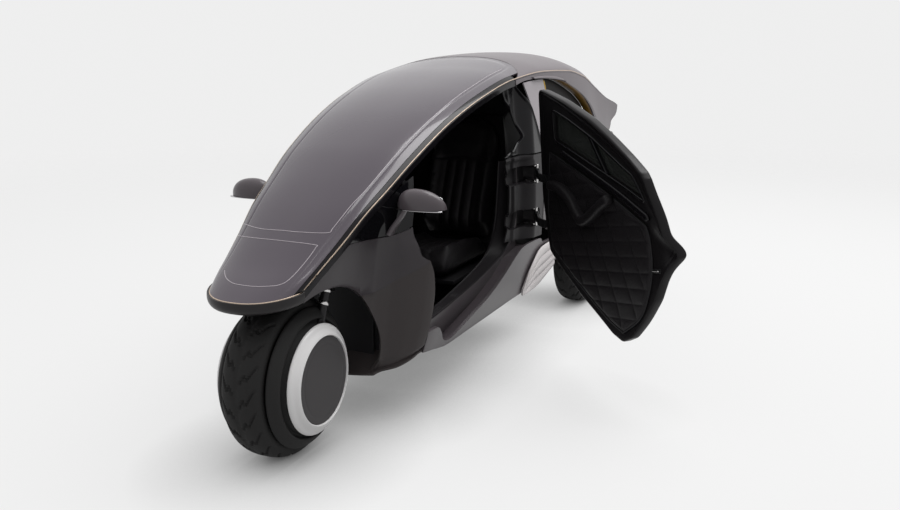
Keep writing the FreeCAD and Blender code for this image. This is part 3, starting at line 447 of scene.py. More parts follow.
points, quads = slab(screen, screen_wall,
                     flip=out_side[screen_rows // 2, screen_columns // 2, 0] > 0)
rounded(facing_out(piece("screen_panel", points, quads, screen_gloss, "body",
                         ["windscreen"])), screen_edge)

# Roof and tail: a satin painted panel from the seam over the cabin to the rounded lip of the
# tail, formed in a mould in one piece and bonded on with an even gap behind the screen.
roof_satin = finish("mauve satin paint", (0.105, 0.088, 0.098), (0.125, 0.106, 0.117),
                    (0.30, 0.38), relief=0.0002, scale=900.0, Coat_Weight=0.25,
                    Coat_Roughness=0.25)
roof_wall = 0.014
roof_edge = 0.002
roof_rows = 150
tail_round = 0.014
roof_columns = 100
across = spread_across(roof_columns)
along = np.linspace(0, 1, roof_rows)[:, None]
begin = seam(across) + panel_gap / 2 / body_length
finish_line = 1 - tail_round * (1 - np.maximum(1 - np.abs(across) ** crown_power, 0)
                                ** shoulder_power)
roof = shell(begin + along * (finish_line - begin), across[None, :])
points, quads = slab(roof, roof_wall, flip=normals_of(roof)[60, 50, 2] > 0)
rounded(facing_out(piece("roof_and_tail", points, quads, roof_satin, "body",
                         ["roof_tail"])), roof_edge)

# Side rails: a gloss black strip beside the screen, rolled over the edge into a side face,
# moulded in one piece with a flange under the screen.
band_gloss = finish("black gloss band", (0.006, 0.0055, 0.0065), (0.009, 0.008, 0.010),
                    (0.16, 0.22), Coat_Weight=0.1, Coat_Roughness=0.05,
                    Specular_IOR_Level=0.14)
rail_drop = 0.034
rail_depth = 0.030
rail_front = 0.0478
rail_flange, rail_foot = 0.012, 0.004
rail_rows = 160
edge_roll = 0.006
strip = np.array([0.935, 0.946, 0.957, 0.968, 0.979, 0.990])


def joined(parts):
    """Several (points, quads) as one."""
    points = []
    quads = []
    count = 0
    for part_points, part_quads in parts:
        part_points = np.asarray(part_points).reshape(-1, 3)
        points.append(part_points)
        quads.append(np.asarray(part_quads) + count)
        count += len(part_points)
    return np.concatenate(points), np.concatenate(quads)


def end_quads(start, count):
    """Quads that close a ring of an even count of points, laid across it like rungs."""
    j = np.arange(count // 2 - 1)
    return np.stack([start + j, start + j + 1, start + count - 2 - j, start + count - 1 - j], -1)


parts = []
for side in (1, -1):
    stations = np.linspace(rail_front, seam_edge - panel_gap / body_length, rail_rows)[:, None]
    top = shell(stations, strip[None, :] * side)
    edge = shell(stations, 1.0 * side)
    outward = np.array([0, side, 0])
    down = np.array([0, 0, -1])
    turns = np.linspace(0.35, 1, 5)[None, :, None] * math.pi / 2
    roll = (edge + down * edge_roll * (1 - np.cos(turns))
            - outward * edge_roll * (1 - np.sin(turns)))
    face = edge + down * np.array([rail_drop * 0.6, rail_drop - rail_foot])[None, :, None]
    low = edge + down * rail_drop - outward * np.array([rail_foot, rail_depth])[None, :, None]
    under = shell(stations, strip[None, :1] * side) + down * (screen_wall + rail_flange)
    ring = np.concatenate([top, roll, face, low, under], 1)
    rows, columns = ring.shape[:2]
    quads = np.concatenate([grid_faces(rows, columns, around=True), end_quads(0, columns),
                            end_quads((rows - 1) * columns, columns)[:, ::-1]])
    parts.append((ring.reshape(-1, 3), quads))
points, quads = joined(parts)
rounded(facing_out(piece("side_rails", points, quads, band_gloss, "body",
                         ["arch_rails"])), 0.0015)

# Nose band: painted chin that closes the leading edge of the screen, moulded as one strip. It
# falls by a quarter sine, swells a little and tucks under the nose.
body_dark = finish("warm dark paint", (0.014, 0.0125, 0.0135), (0.020, 0.018, 0.019),
                   (0.34, 0.42), relief=0.0002, scale=900.0, Coat_Weight=0.1,
                   Coat_Roughness=0.18, Specular_IOR_Level=0.2)
band_columns = 90
chin_drop = 0.036
chin_tuck = 0.017
chin_swell, chin_wall = 0.003, 0.008
across = spread_across(band_columns)
lead = shell(first_station, across)
plan = np.stack([np.gradient(lead[:, 1]), -np.gradient(lead[:, 0]), 0 * across], -1)
plan /= np.maximum(np.linalg.norm(plan, axis=1, keepdims=True), 1e-9)
steps = np.linspace(0, 1, 14)
fall = chin_drop * np.sin(steps * math.pi / 2)
tuck = chin_tuck * (1 - np.cos(steps * math.pi / 2))
swell = chin_swell * np.sin(steps * math.pi)
chin = (lead[None] + np.array([0, 0, -1]) * fall[:, None, None]
        + plan[None] * (swell - tuck)[:, None, None])
points, quads = slab(chin, chin_wall)
rounded(facing_out(piece("nose_chin", points, quads, body_dark, "body",
                         ["nose_band"])), 0.0015)

# Trim lines: a gold foil bead along the shell's edge and two thin pale inlays in the screen, laid
# on as flat ribbons with their width square to their path.
pale_line = finish("thin pale inlay", (0.36, 0.32, 0.35), (0.42, 0.38, 0.41), (0.30, 0.36),
                   Coat_Weight=0.5)
gold_line = finish("pale gold trim", (0.46, 0.36, 0.28), (0.56, 0.45, 0.36), (0.28, 0.36),
                   Metallic=0.35)
bead_width = 0.0045
inlay_width = 0.0026
bead_place, bead_end = 0.994, 0.82
line_lift = 0.0008


def catmull(knots, count):
    """Even points on a curve through the knots, each span blended from its four nearest."""
    knots = np.asarray(knots, float)
    ends = np.concatenate([2 * knots[:1] - knots[1:2], knots, 2 * knots[-1:] - knots[-2:-1]])
    t = np.linspace(0, len(knots) - 1, count)
    i = np.minimum(t.astype(int), len(knots) - 2)
    u = (t - i)[:, None]
    a, b, c, d = ends[i], ends[i + 1], ends[i + 2], ends[i + 3]
    return 0.5 * (2 * b + (c - a) * u + (2 * a - 5 * b + 4 * c - d) * u**2
                  + (3 * b - a - 3 * c + d) * u**3)


def ribbon(path, width, lift):
    """Flat ribbon on the shell along a (station, q) path: its width lies across the path and
    in the surface, and it stands proud by the lift."""
    share, q = path[:, 0], path[:, 1]
    step = 1e-4
    here = shell(share, q)
    ahead = shell(share + step, q) - here
    beside = shell(share, q - step * np.sign(q + 1e-9)) - here
    up = np.cross(ahead, beside)
    up /= np.linalg.norm(up, axis=1, keepdims=True)
    up *= np.sign(up[:, 2:3] + 1e-9)
    tangent = np.gradient(here, axis=0)
    tangent /= np.linalg.norm(tangent, axis=1, keepdims=True)
    aside = np.cross(tangent, up)
    aside /= np.linalg.norm(aside, axis=1, keepdims=True)
    base = here + up * lift
    grid = np.stack([base - aside * width / 2 - up * lift * 1.6, base - aside * width / 2,
                     base + aside * width / 2, base + aside * width / 2 - up * lift * 1.6], 1)
    return grid.reshape(-1, 3), grid_faces(len(path), 4)


upper_line = ((0.113, -0.930), (0.109, -0.470), (0.109, 0.000), (0.109, 0.288),
              (0.111, 0.700), (0.117, 0.738), (0.144, 0.752), (0.167, 0.778),
              (0.211, 0.780), (0.280, 0.785), (0.351, 0.775), (0.420, 0.772),
              (0.467, 0.758), (0.505, 0.748))
lower_line = ((0.0996, -0.930), (0.0996, -0.400), (0.0996, 0.048), (0.0985, 0.640),
              (0.0950, 0.700), (0.0785, 0.703), (0.0651, 0.672), (0.0612, 0.590),
              (0.0605, 0.445), (0.0600, 0.228), (0.0600, -0.088), (0.0605, -0.307),
              (0.0630, -0.537), (0.0670, -0.690))
parts = [ribbon(catmull(upper_line, 260), inlay_width, line_lift),
         ribbon(catmull(lower_line, 260), inlay_width, line_lift)]
points, quads = joined(parts)
piece("screen_inlays", points, quads, pale_line, "body")
edge_path = np.concatenate([
    np.stack([np.linspace(bead_end, first_station, 220), np.full(220, bead_place)], -1),
    np.stack([np.full(150, first_station + 0.0004), spread_across(150)[::-1] * bead_place], -1),
    np.stack([np.linspace(first_station, bead_end, 220), np.full(220, -bead_place)], -1)])
points, quads = ribbon(edge_path, bead_width, line_lift)
piece("gold_edge_bead", points, quads, gold_line, "body")

# Front flanks: two painted panels on each side of the front wheel, formed from sheet and hung
# from the rail, that meet in a sharp crease. The upper one runs up to the rail, and the lower one
# tucks under at its foot.

# Body side: at each station five levels from the lower edge up to the shell's edge, as shares
# of the body height, with the half widths there as shares of the body's half width. All side
# panels are formed sheet, cut from this one surface, so that neighbours line up.
side_stations = np.array((0.0465, 0.0816, 0.1222, 0.1600, 0.1790, 0.1900, 0.2000, 0.2130, 0.2440,
                          0.3520, 0.4870, 0.6220, 0.7170, 0.7840, 0.8650, 0.9460, 1.0100))
side_heights = np.array((
    (0.400, 0.418, 0.434, 0.448, 0.462), (0.300, 0.390, 0.440, 0.480, 0.523),
    (0.240, 0.360, 0.440, 0.510, 0.588), (0.155, 0.300, 0.430, 0.540, 0.644),
    (0.150, 0.300, 0.440, 0.545, 0.668), (0.152, 0.300, 0.465, 0.545, 0.683),
    (0.157, 0.300, 0.485, 0.548, 0.697), (0.162, 0.300, 0.492, 0.556, 0.713),
    (0.178, 0.300, 0.496, 0.575, 0.749), (0.186, 0.300, 0.500, 0.610, 0.848),
    (0.186, 0.300, 0.500, 0.655, 0.919), (0.186, 0.300, 0.500, 0.660, 0.935),
    (0.186, 0.320, 0.500, 0.660, 0.925), (0.186, 0.320, 0.500, 0.660, 0.902),
    (0.186, 0.320, 0.500, 0.660, 0.839), (0.186, 0.320, 0.500, 0.660, 0.787),
    (0.186, 0.320, 0.500, 0.640, 0.742)))
side_widths = np.array((
    (0.330, 0.378, 0.400, 0.412, 0.420), (0.380, 0.430, 0.452, 0.470, 0.488),
    (0.410, 0.450, 0.480, 0.515, 0.556), (0.425, 0.470, 0.520, 0.575, 0.614),
    (0.500, 0.560, 0.600, 0.640, 0.640), (0.650, 0.745, 0.760, 0.690, 0.655),
    (0.740, 0.850, 0.870, 0.750, 0.668), (0.785, 0.895, 0.917, 0.815, 0.682),
    (0.820, 0.915, 0.935, 0.890, 0.710), (0.870, 0.945, 0.965, 0.940, 0.793),
    (0.905, 0.975, 1.000, 0.975, 0.880), (0.950, 1.015, 1.035, 1.000, 0.930),
    (1.040, 1.130, 1.170, 1.070, 0.960), (1.090, 1.195, 1.230, 1.100, 0.982),
    (1.030, 1.110, 1.140, 1.050, 1.015), (0.920, 1.000, 1.040, 1.030, 1.045),
    (0.830, 0.920, 0.980, 1.030, 1.070)))
wheel_height = 0.312
arch_reach = 0.352


def level_value(values, level):
    """Value at a level for each row of its own table, by the same cubic with unit steps."""
    rate = np.diff(values, axis=1)
    before, after = rate[:, :-1], rate[:, 1:]
    total = np.where(before + after == 0, 1, before + after)
    inner = np.where(before * after > 0, 2 * before * after / total, 0)
    slope = np.concatenate([rate[:, :1], inner, rate[:, -1:]], 1)
    i = np.clip(np.floor(level).astype(int), 0, values.shape[1] - 2)
    u = level - i

    def pick(table, j):
        return np.take_along_axis(table, j[:, None], 1)[:, 0]

    return ((2 * u**3 - 3 * u**2 + 1) * pick(values, i) + (u**3 - 2 * u**2 + u) * pick(slope, i)
            + (3 * u**2 - 2 * u**3) * pick(values, i + 1) + (u**3 - u**2) * pick(slope, i + 1))


def skin(x, z):
    """Half width of the body side at places in the side view, by halving the levels until
    the height is met."""
    x, z = np.broadcast_arrays(np.asarray(x, float), np.asarray(z, float))
    share = (nose_reach - x.ravel()) / body_length
    height = z.ravel() / body_height
    heights = smooth(side_stations, side_heights, share)
    widths = smooth(side_stations, side_widths, share)
    low = np.zeros(len(share))
    high = np.full(len(share), 4.0)
    for _ in range(26):
        middle = (low + high) / 2
        below = level_value(heights, middle) < height
        low = np.where(below, middle, low)
        high = np.where(below, high, middle)
    return (level_value(widths, high) * body_half_width).reshape(x.shape)


def along_line(knots, count, curved=True):
    """Evenly spaced points along a line through knots, curved through them or straight."""
    knots = np.asarray(knots, float)
    fine = catmull(knots, 400) if curved else knots
    run = np.concatenate([[0], np.cumsum(np.linalg.norm(np.diff(fine, axis=0), axis=1))])
    even = np.linspace(0, run[-1], count)
    return np.stack([np.interp(even, run, fine[:, k]) for k in range(fine.shape[1])], 1)


def patch(low, high, front, rear, rows, columns, curved=True):
    """Grid between four side view lines: the two ruled fills added, less the corners' fill.
    Low and high run from front to rear, front and rear run from low to high."""
    low = along_line(low, columns, curved)
    high = along_line(high, columns, curved)
    front = along_line(front, rows, curved)
    rear = along_line(rear, rows, curved)
    v = np.linspace(0, 1, rows)[:, None, None]
    u = np.linspace(0, 1, columns)[None, :, None]
    corners = ((1 - v) * ((1 - u) * low[0] + u * low[-1])
               + v * ((1 - u) * high[0] + u * high[-1]))
    return ((1 - v) * low[None] + v * high[None] + (1 - u) * front[:, None]
            + u * rear[:, None] - corners)


def on_side(flat, sunk=0.0):
    """Side view grid laid on the left body side, sunk inwards by a distance."""
    x, z = flat[..., 0], flat[..., 1]
    return np.stack([x, skin(x, z) - sunk, z], -1)


def both(points, quads):
    """A left piece together with its mirror image on the right."""
    count = len(points)
    return (np.concatenate([points, points * np.array([1, -1, 1])]),
            np.concatenate([quads, quads[:, ::-1] + count]))


def side_slab(grid, wall):
    """Closed wall inwards from a grid on the left body side."""
    outward = normals_of(grid)[grid.shape[0] // 2, grid.shape[1] // 2, 1] > 0
    return slab(grid, wall, flip=bool(outward))


def arch_line(start, end, count=9):
    """Side view points on the wheel opening round the front axle, between two angles that
    count up from the rear."""
    turn = np.radians(np.linspace(start, end, count))
    return np.stack([-arch_reach * np.cos(turn), wheel_height + arch_reach * np.sin(turn)], 1)


# The flanks carry the skirts' mauve grey paint, darkened as painted shade for their upright faces.
shaded_flank_paint = finish("flank paint darkened as painted shade", (0.046, 0.039, 0.039), (0.054, 0.046, 0.046),
                     (0.36, 0.44), relief=0.0002, scale=900.0, Coat_Weight=0.1,
                     Coat_Roughness=0.25, Specular_IOR_Level=0.2)
# The shoulders above the crease carry the same paint darker still, as painted shade and painted
# dark reflection.
shaded_shoulder_paint = finish("shoulder paint darkened as painted shade", (0.040, 0.035, 0.039), (0.048, 0.042, 0.046),
                        (0.24, 0.32), relief=0.0002, scale=900.0, Coat_Weight=0.15,
                        Coat_Roughness=0.12, Specular_IOR_Level=0.2)
crease = ((-0.222, 0.586), (-0.295, 0.583), (-0.350, 0.604), (-0.393, 0.648), (-0.437, 0.694))
foot_start = (-0.346, 0.275)
foot_slope = -0.446
foot_tuck = 0.50
crease_ridge = 0.007
crease_reach = 0.022
flank_wall, flank_edge = 0.012, 0.0012
upper_run, lower_run = 0.16, 0.36
ridge_from, ridge_fade = 0.05, 0.3
flare_from, flare_fade, flare_power = -0.24, 0.20, 1.4
flare_above, flare_below = 0.048, 0.34
corner_flare = 0.026
upper = patch(np.concatenate([arch_line(111, 52), np.array(crease)]),
              ((0.127, 0.668), (0.0, 0.741), (-0.098, 0.804), (-0.200, 0.806), (-0.291, 0.800),
               (-0.362, 0.801), (-0.416, 0.812), (-0.446, 0.824)),
              ((0.126, 0.642), (0.127, 0.668)),
              ((-0.437, 0.694), (-0.4255, 0.709), (-0.4235, 0.728), (-0.429, 0.757),
               (-0.4375, 0.790), (-0.446, 0.824)), 40, 110)
lower = patch(((-0.338, 0.216), (-0.393, 0.240), (-0.436, 0.275), (-0.474, 0.296)), crease,
              arch_line(-16, 51), ((-0.474, 0.296), (-0.473, 0.400), (-0.479, 0.490),
                                   (-0.478, 0.560), (-0.4625, 0.640), (-0.437, 0.694)), 70, 60)
crease_places = np.array(crease)
ridge = crease_ridge * np.exp(-np.linspace(0, 1, 40)[:, None] * upper_run / crease_reach)
upper_side = on_side(upper)
upper_side[..., 1] += ridge * np.clip((ridge_from - upper[..., 0]) / ridge_fade, 0, 1)
above = upper[..., 1] - np.interp(-upper[..., 0], -crease_places[:, 0], crease_places[:, 1])
corner = np.clip((flare_from - upper[..., 0]) / flare_fade, 0, 1) ** flare_power
upper_side[..., 1] += corner_flare * corner * np.exp(-(above / flare_above) ** 2)
lower_side = on_side(lower)
ridge = crease_ridge * np.exp(-np.linspace(1, 0, 70)[:, None] * lower_run / crease_reach)
foot_line = foot_start[1] + (lower[..., 0] - foot_start[0]) * foot_slope
tuck = foot_tuck * np.maximum(foot_line - lower[..., 1], 0)
lower_side[..., 1] += ridge * np.clip((ridge_from - lower[..., 0]) / ridge_fade, 0, 1) - tuck
below = np.interp(-lower[..., 0], -crease_places[:, 0], crease_places[:, 1]) - lower[..., 1]
corner = np.clip((flare_from - lower[..., 0]) / flare_fade, 0, 1) ** flare_power
lower_side[..., 1] += corner_flare * corner * np.clip(1 - below / flare_below, 0, 1)
points, quads = both(*side_slab(lower_side, flank_wall))
rounded(facing_out(piece("front_flanks", points, quads, shaded_flank_paint, "body",
                         ["flanks"])), flank_edge)
points, quads = both(*side_slab(upper_side, flank_wall))
rounded(facing_out(piece("front_shoulders", points, quads, shaded_shoulder_paint, "body")), flank_edge)

# Under lip: the painted sheet that closes the body behind the front wheel and joins the feet of
# the two flanks. It is bent from one strip and sags a little between them.
lip_sunk, lip_wall = 0.004, 0.010
lip_sag = np.array([0.030, 0, -0.006])
lip_edge = along_line(((-0.338, 0.216), (-0.393, 0.240), (-0.436, 0.275), (-0.474, 0.296),
                       (-0.560, 0.292)), 24)
left_edge = on_side(lip_edge, lip_sunk)
v = np.linspace(-1, 1, 40)[None, :, None]
lip = left_edge[:, None] * np.array([1, 0, 1]) + left_edge[:, None] * np.array([0, 1, 0]) * v
lip = lip + lip_sag * (1 - v**2)
points, quads = slab(lip, lip_wall, flip=normals_of(lip)[10, 20, 2] < 0)
# The lip takes the flank paint, darkened as painted shade.
rounded(facing_out(piece("under_lip", points, quads, shaded_flank_paint, "body")), 0.003)

# Quarter windows: panes of dark tinted glazing between the flank and the rail, ahead of each
# door. They are cut from sheet, curved like the body side and bonded in a little under it.
tinted_glass = finish("tinted glazing", (0.004, 0.004, 0.005), (0.006, 0.0055, 0.007),
                      (0.04, 0.07), Transmission_Weight=0.08, IOR=1.45, Coat_Weight=0.1,
                      Coat_Roughness=0.02)
quarter_sunk, quarter_wall = 0.003, 0.006
quarter = patch(((-0.104, 0.812), (-0.200, 0.809), (-0.291, 0.804), (-0.362, 0.805),
                 (-0.416, 0.816), (-0.448, 0.828)),
                ((-0.106, 0.816), (-0.200, 0.872), (-0.300, 0.925), (-0.380, 0.962),
                 (-0.440, 0.994), (-0.500, 1.020)),
                ((-0.104, 0.812), (-0.106, 0.816)),
                ((-0.448, 0.828), (-0.470, 0.900), (-0.500, 1.020)), 24, 60)
points, quads = both(*side_slab(on_side(quarter, quarter_sunk), quarter_wall))
rounded(facing_out(piece("front_quarter_glazing", points, quads, tinted_glass, "body",
                         ["quarter_windows"])), 0.0008)

# Skirts: painted lower panels from the flank to the rear wheel, formed from sheet and screwed to
# the sills. Their upper edge follows the foot of the closed door with an even gap.
body_grey = finish("mauve grey paint", (0.066, 0.056, 0.062), (0.084, 0.072, 0.079),
                   (0.32, 0.40), relief=0.0002, scale=900.0, Coat_Weight=0.3,
                   Coat_Roughness=0.20)
skirt_wall = 0.014
skirt_high = np.array(((-0.477, 0.390), (-0.560, 0.386), (-0.612, 0.348), (-0.650, 0.306),
                       (-0.704, 0.284), (-0.790, 0.292), (-0.940, 0.334), (-1.102, 0.378),
                       (-1.276, 0.441), (-1.440, 0.510), (-1.530, 0.534), (-1.660, 0.536),
                       (-1.790, 0.528), (-1.840, 0.500), (-2.034, 0.498)))
skirt = patch(((-0.477, 0.292), (-0.560, 0.280), (-0.640, 0.266), (-0.720, 0.260),
               (-0.960, 0.266), (-1.400, 0.270), (-1.640, 0.272), (-1.850, 0.298),
               (-2.034, 0.345)),
              skirt_high,
              ((-0.477, 0.292), (-0.477, 0.386)),
              ((-2.034, 0.345), (-2.034, 0.498)), 26, 190)
points, quads = both(*side_slab(on_side(skirt), skirt_wall))
rounded(facing_out(piece("lower_skirts", points, quads, body_grey, "body",
                         ["skirts"])), 0.0012)

# Sills: the step at each doorway. The side strip behind the door is painted like the skirt, and
# a ribbed dark plate with rolled borders is laid on top and swept up into the door jamb.
sill_grey = finish("dark sill plate", (0.014, 0.0125, 0.014), (0.020, 0.018, 0.020),
                   (0.36, 0.46), relief=0.0004, scale=300.0, stretch=(0.2, 6.0, 6.0),
                   Specular_IOR_Level=0.15)
door_room = 0.068
sill_wall = 0.006
border_rise, border_place, border_spread = 0.0035, 0.05, 0.035
comb_start, comb_end, comb_teeth, comb_depth = 0.30, 0.70, 4, 0.0014
ledge_gap, ledge_sunk = 0.005, 0.010
plate_rows = 150
plate_columns = 44
outer_line = along_line(((-0.478, 0.345, 0.391), (-0.640, 0.341, 0.394), (-0.990, 0.350, 0.432),
                         (-1.250, 0.363, 0.472), (-1.430, 0.372, 0.515), (-1.545, 0.376, 0.590),
                         (-1.590, 0.379, 0.720), (-1.596, 0.382, 0.960)), plate_rows)
outer_line[:, 1] = np.minimum(outer_line[:, 1],
                              skin(outer_line[:, 0], outer_line[:, 2]) - door_room)
inner_line = along_line(((-0.478, 0.288, 0.396), (-0.640, 0.286, 0.399), (-0.990, 0.284, 0.437),
                         (-1.250, 0.284, 0.478), (-1.380, 0.284, 0.520), (-1.470, 0.286, 0.600),
                         (-1.505, 0.290, 0.720), (-1.512, 0.298, 0.960)), plate_rows)
v = np.linspace(0, 1, plate_columns)[None, :, None]
plate = outer_line[:, None] * (1 - v) + inner_line[:, None] * v
border = border_rise * (np.exp(-((v - border_place) / border_spread) ** 2)
                        + np.exp(-((v - 1 + border_place) / border_spread) ** 2))
u = np.linspace(0, 1, plate_rows)[:, None, None]
bars = 0 * u * v
for start, end in ((0.035, 0.075), (0.10, 0.20), (0.285, 0.315)):
    inside = np.clip((u - start) / 0.006, 0, 1) * np.clip((end - u) / 0.006, 0, 1)
    wave = np.cos((v - comb_start) / (comb_end - comb_start) * 2 * math.pi * comb_teeth)
    comb = np.clip(wave * 1.6, -1, 1) * 0.5 + 0.5
    bars = bars - comb_depth * inside * comb * ((v > comb_start) & (v < comb_end))
relief = border + bars
plate_normals = normals_of(plate)
plate = plate + plate_normals * np.sign(plate_normals[20, 20, 2]) * relief
face_top = plate[:, 0]
face_low_height = np.interp(-face_top[:, 0], [0.478, 0.580, 0.735, 0.800, 1.100, 1.280, 1.440,
                                              1.600], [0.374, 0.350, 0.272, 0.275, 0.360, 0.425,
                                                       0.495, 0.520])
face_low = face_top.copy()
face_low[:, 2] = np.minimum(face_low_height, face_top[:, 2] - 0.002)
face_low[:, 1] = np.minimum(face_low[:, 1], skin(face_low[:, 0], face_low[:, 2]) - door_room)
w = np.linspace(0, 1, 8)[None, :, None]
skirt_top = np.interp(-face_top[:, 0], -skirt_high[:, 0], skirt_high[:, 1]) - ledge_gap
ledge = np.stack([face_top[:, 0], skin(face_top[:, 0], skirt_top) - ledge_sunk, skirt_top], 1)
ledge[:, 1] = np.maximum(ledge[:, 1], face_low[:, 1] + 0.002)
strip_face = np.concatenate([ledge[:, None] * (1 - w) + face_low[:, None] * w,
                             (face_low[:, None] * (1 - w) + face_top[:, None] * w)[:, 1:]], 1)
points, quads = both(*slab(plate, sill_wall, flip=normals_of(plate)[20, 20, 2] > 0))
rounded(facing_out(piece("sill_plates", points, quads, sill_grey, "body",
                         ["sills"])), 0.0010)
points, quads = both(*slab(strip_face, sill_wall, flip=normals_of(strip_face)[20, 4, 1] > 0))
rounded(facing_out(piece("sill_strips", points, quads, body_grey, "body")), 0.0010)

# Jambs: painted steps behind the front edge of each doorway, bent from sheet and fixed to the
# flank. They are sunk under the body side, so that the shut door clears them.
jamb_sunk, jamb_wall = 0.052, 0.006
jamb = patch(((-0.470, 0.400), (-0.520, 0.400)), ((-0.420, 0.735), (-0.475, 0.735)),
             ((-0.470, 0.400), (-0.476, 0.560), (-0.430, 0.694), (-0.420, 0.735)),
             ((-0.520, 0.400), (-0.520, 0.560), (-0.490, 0.700), (-0.475, 0.735)), 40, 8)
points, quads = both(*side_slab(on_side(jamb, jamb_sunk), jamb_wall))
rounded(facing_out(piece("door_jambs", points, quads, body_dark, "body")), 0.0010)

# Doors: a hollow formed shell of one thickness with a rounded edge, built closed in the side
# view and swung on the upright hinge line. The left one stands open. Two beads are pressed
# along the inside of the top and front, and both fade out towards the foot.
door_paint = finish("door shell paint", (0.009, 0.008, 0.009), (0.013, 0.012, 0.013),
                    (0.26, 0.34), relief=0.0002, scale=900.0, Coat_Weight=0.03,
                    Coat_Roughness=0.12, Specular_IOR_Level=0.1)
door_wall = 0.044
hinge_line = np.array([-1.709, 0.440])
open_turn = math.radians(45.6)
door_knots = np.array((
    (-1.552, 1.325), (-1.280, 1.281), (-1.006, 1.218), (-0.824, 1.157), (-0.666, 1.096),
    (-0.550, 1.044), (-0.526, 1.018), (-0.490, 0.925), (-0.462, 0.826), (-0.448, 0.765),
    (-0.434, 0.716), (-0.456, 0.676), (-0.490, 0.600), (-0.520, 0.520), (-0.600, 0.396),
    (-0.648, 0.326), (-0.700, 0.296), (-0.790, 0.306), (-0.940, 0.346), (-1.102, 0.389),
    (-1.276, 0.452), (-1.455, 0.528), (-1.514, 0.643), (-1.560, 0.790), (-1.570, 1.050)))
hole_knots = np.array((
    (-1.400, 1.230), (-1.232, 1.196), (-1.012, 1.140), (-0.868, 1.090), (-0.726, 1.042),
    (-0.644, 1.018), (-0.624, 0.998), (-0.596, 0.958), (-0.574, 0.926), (-0.582, 0.921),
    (-0.606, 0.925), (-0.644, 0.932), (-0.690, 0.942), (-0.760, 0.956), (-0.840, 0.972),
    (-0.910, 0.986), (-0.970, 0.998), (-1.030, 1.010), (-1.100, 1.024), (-1.180, 1.040),
    (-1.260, 1.056), (-1.340, 1.072), (-1.390, 1.082), (-1.404, 1.096), (-1.408, 1.150)))
press_rise, press_spread, press_places = 0.0045, 0.0042, (0.015, 0.036)
press_foot, press_fade = 0.62, 0.12
tip_flare = 0.046
frame_flare = 0.030


def closed_curve(knots, per):
    """Smooth closed line through knots, with a set number of points from each to the next."""
    knots = np.asarray(knots, float)
    step = np.roll(knots, -1, 0) - knots
    length = np.linalg.norm(step, axis=1, keepdims=True)
    rate = step / length
    slope = ((np.roll(rate, 1, 0) * length + rate * np.roll(length, 1, 0))
             / (length + np.roll(length, 1, 0)))
    u = (np.arange(per) / per)[None, :, None]
    a, b = knots[:, None], np.roll(knots, -1, 0)[:, None]
    ma, mb = slope[:, None], np.roll(slope, -1, 0)[:, None]
    h = length[:, None]
    return ((2 * u**3 - 3 * u**2 + 1) * a + (u**3 - 2 * u**2 + u) * h * ma
            + (3 * u**2 - 2 * u**3) * b + (u**3 - u**2) * h * mb).reshape(-1, knots.shape[1])


def crisp_curve(knots, per, passes=4):
    """Closed line of straight runs between knots, with its corners softened by averaging each
    point with its neighbours."""
    knots = np.asarray(knots, float)
    share = (np.arange(per) / per)[None, :, None]
    line = knots[:, None] * (1 - share) + np.roll(knots, -1, 0)[:, None] * share
    line = line.reshape(-1, knots.shape[1])
    for _ in range(passes):
        line = (np.roll(line, 1, 0) + 2 * line + np.roll(line, -1, 0)) / 4
    return line


def swept(path, side, half_width, half_depth, power=2.4, around=24, cap=0.0, closed=False):
    """Superellipse section carried along a path: half_depth lies along side, half_width across
    it. An open path ends in rounded caps of a set length."""
    path = np.asarray(path, float)
    count = len(path)
    along = (np.roll(path, -1, 0) - np.roll(path, 1, 0)) if closed else np.gradient(path, axis=0)
    along = along / np.linalg.norm(along, axis=1, keepdims=True)
    side = np.broadcast_to(np.asarray(side, float), path.shape)
    side = side - along * (side * along).sum(1, keepdims=True)
    side = side / np.linalg.norm(side, axis=1, keepdims=True)
    across = np.cross(along, side)
    turn = np.linspace(0, 2 * np.pi, around, endpoint=False)
    c, d = np.cos(turn), np.sin(turn)
    x = np.sign(c) * np.abs(c) ** (2 / power)
    y = np.sign(d) * np.abs(d) ** (2 / power)
    scale = np.ones(count)
    if cap and not closed:
        run = np.concatenate([[0], np.cumsum(np.linalg.norm(np.diff(path, axis=0), axis=1))])
        near = np.minimum(run, run[-1] - run) / cap
        scale = np.maximum(1 - (1 - np.clip(near, 0, 1)) ** 2.6, 0) ** (1 / 2.6)
        scale = np.maximum(scale, 0.04)
    width = (np.broadcast_to(half_width, count) * scale)[:, None, None]
    depth = (np.broadcast_to(half_depth, count) * scale)[:, None, None]
    points = (path[:, None] + across[:, None] * width * x[None, :, None]
              + side[:, None] * depth * y[None, :, None])
    quads = grid_faces(count, around, around=True, across=closed)
    if not closed:
        quads = np.concatenate([quads, end_quads(0, around),
                                end_quads((count - 1) * around, around)[:, ::-1]])
    return points.reshape(-1, 3), quads


def hung(points, left):
    """Points of a closed left door, as they stand in the frame: swung open on the left, or
    mirrored and closed on the right."""
    points = np.asarray(points, float).reshape(-1, 3)
    if not left:
        return points * np.array([1, -1, 1])
    x = points[:, 0] - hinge_line[0]
    y = points[:, 1] - hinge_line[1]
    c, d = math.cos(open_turn), math.sin(open_turn)
    return np.stack([x * c - y * d + hinge_line[0], x * d + y * c + hinge_line[1],
                     points[:, 2]], 1)


def door_pieces(title, points, quads, material, slot, replaced=None, round_width=0.0):
    """The same piece on both doors."""
    for left, name in ((True, "left"), (False, "right")):
        old = [f"{replaced}_{name}"] if replaced else []
        made = facing_out(piece(f"{title}_{name}", hung(points, left), quads, material,
                                f"door_{name}", old))
        if round_width:
            rounded(made, round_width)


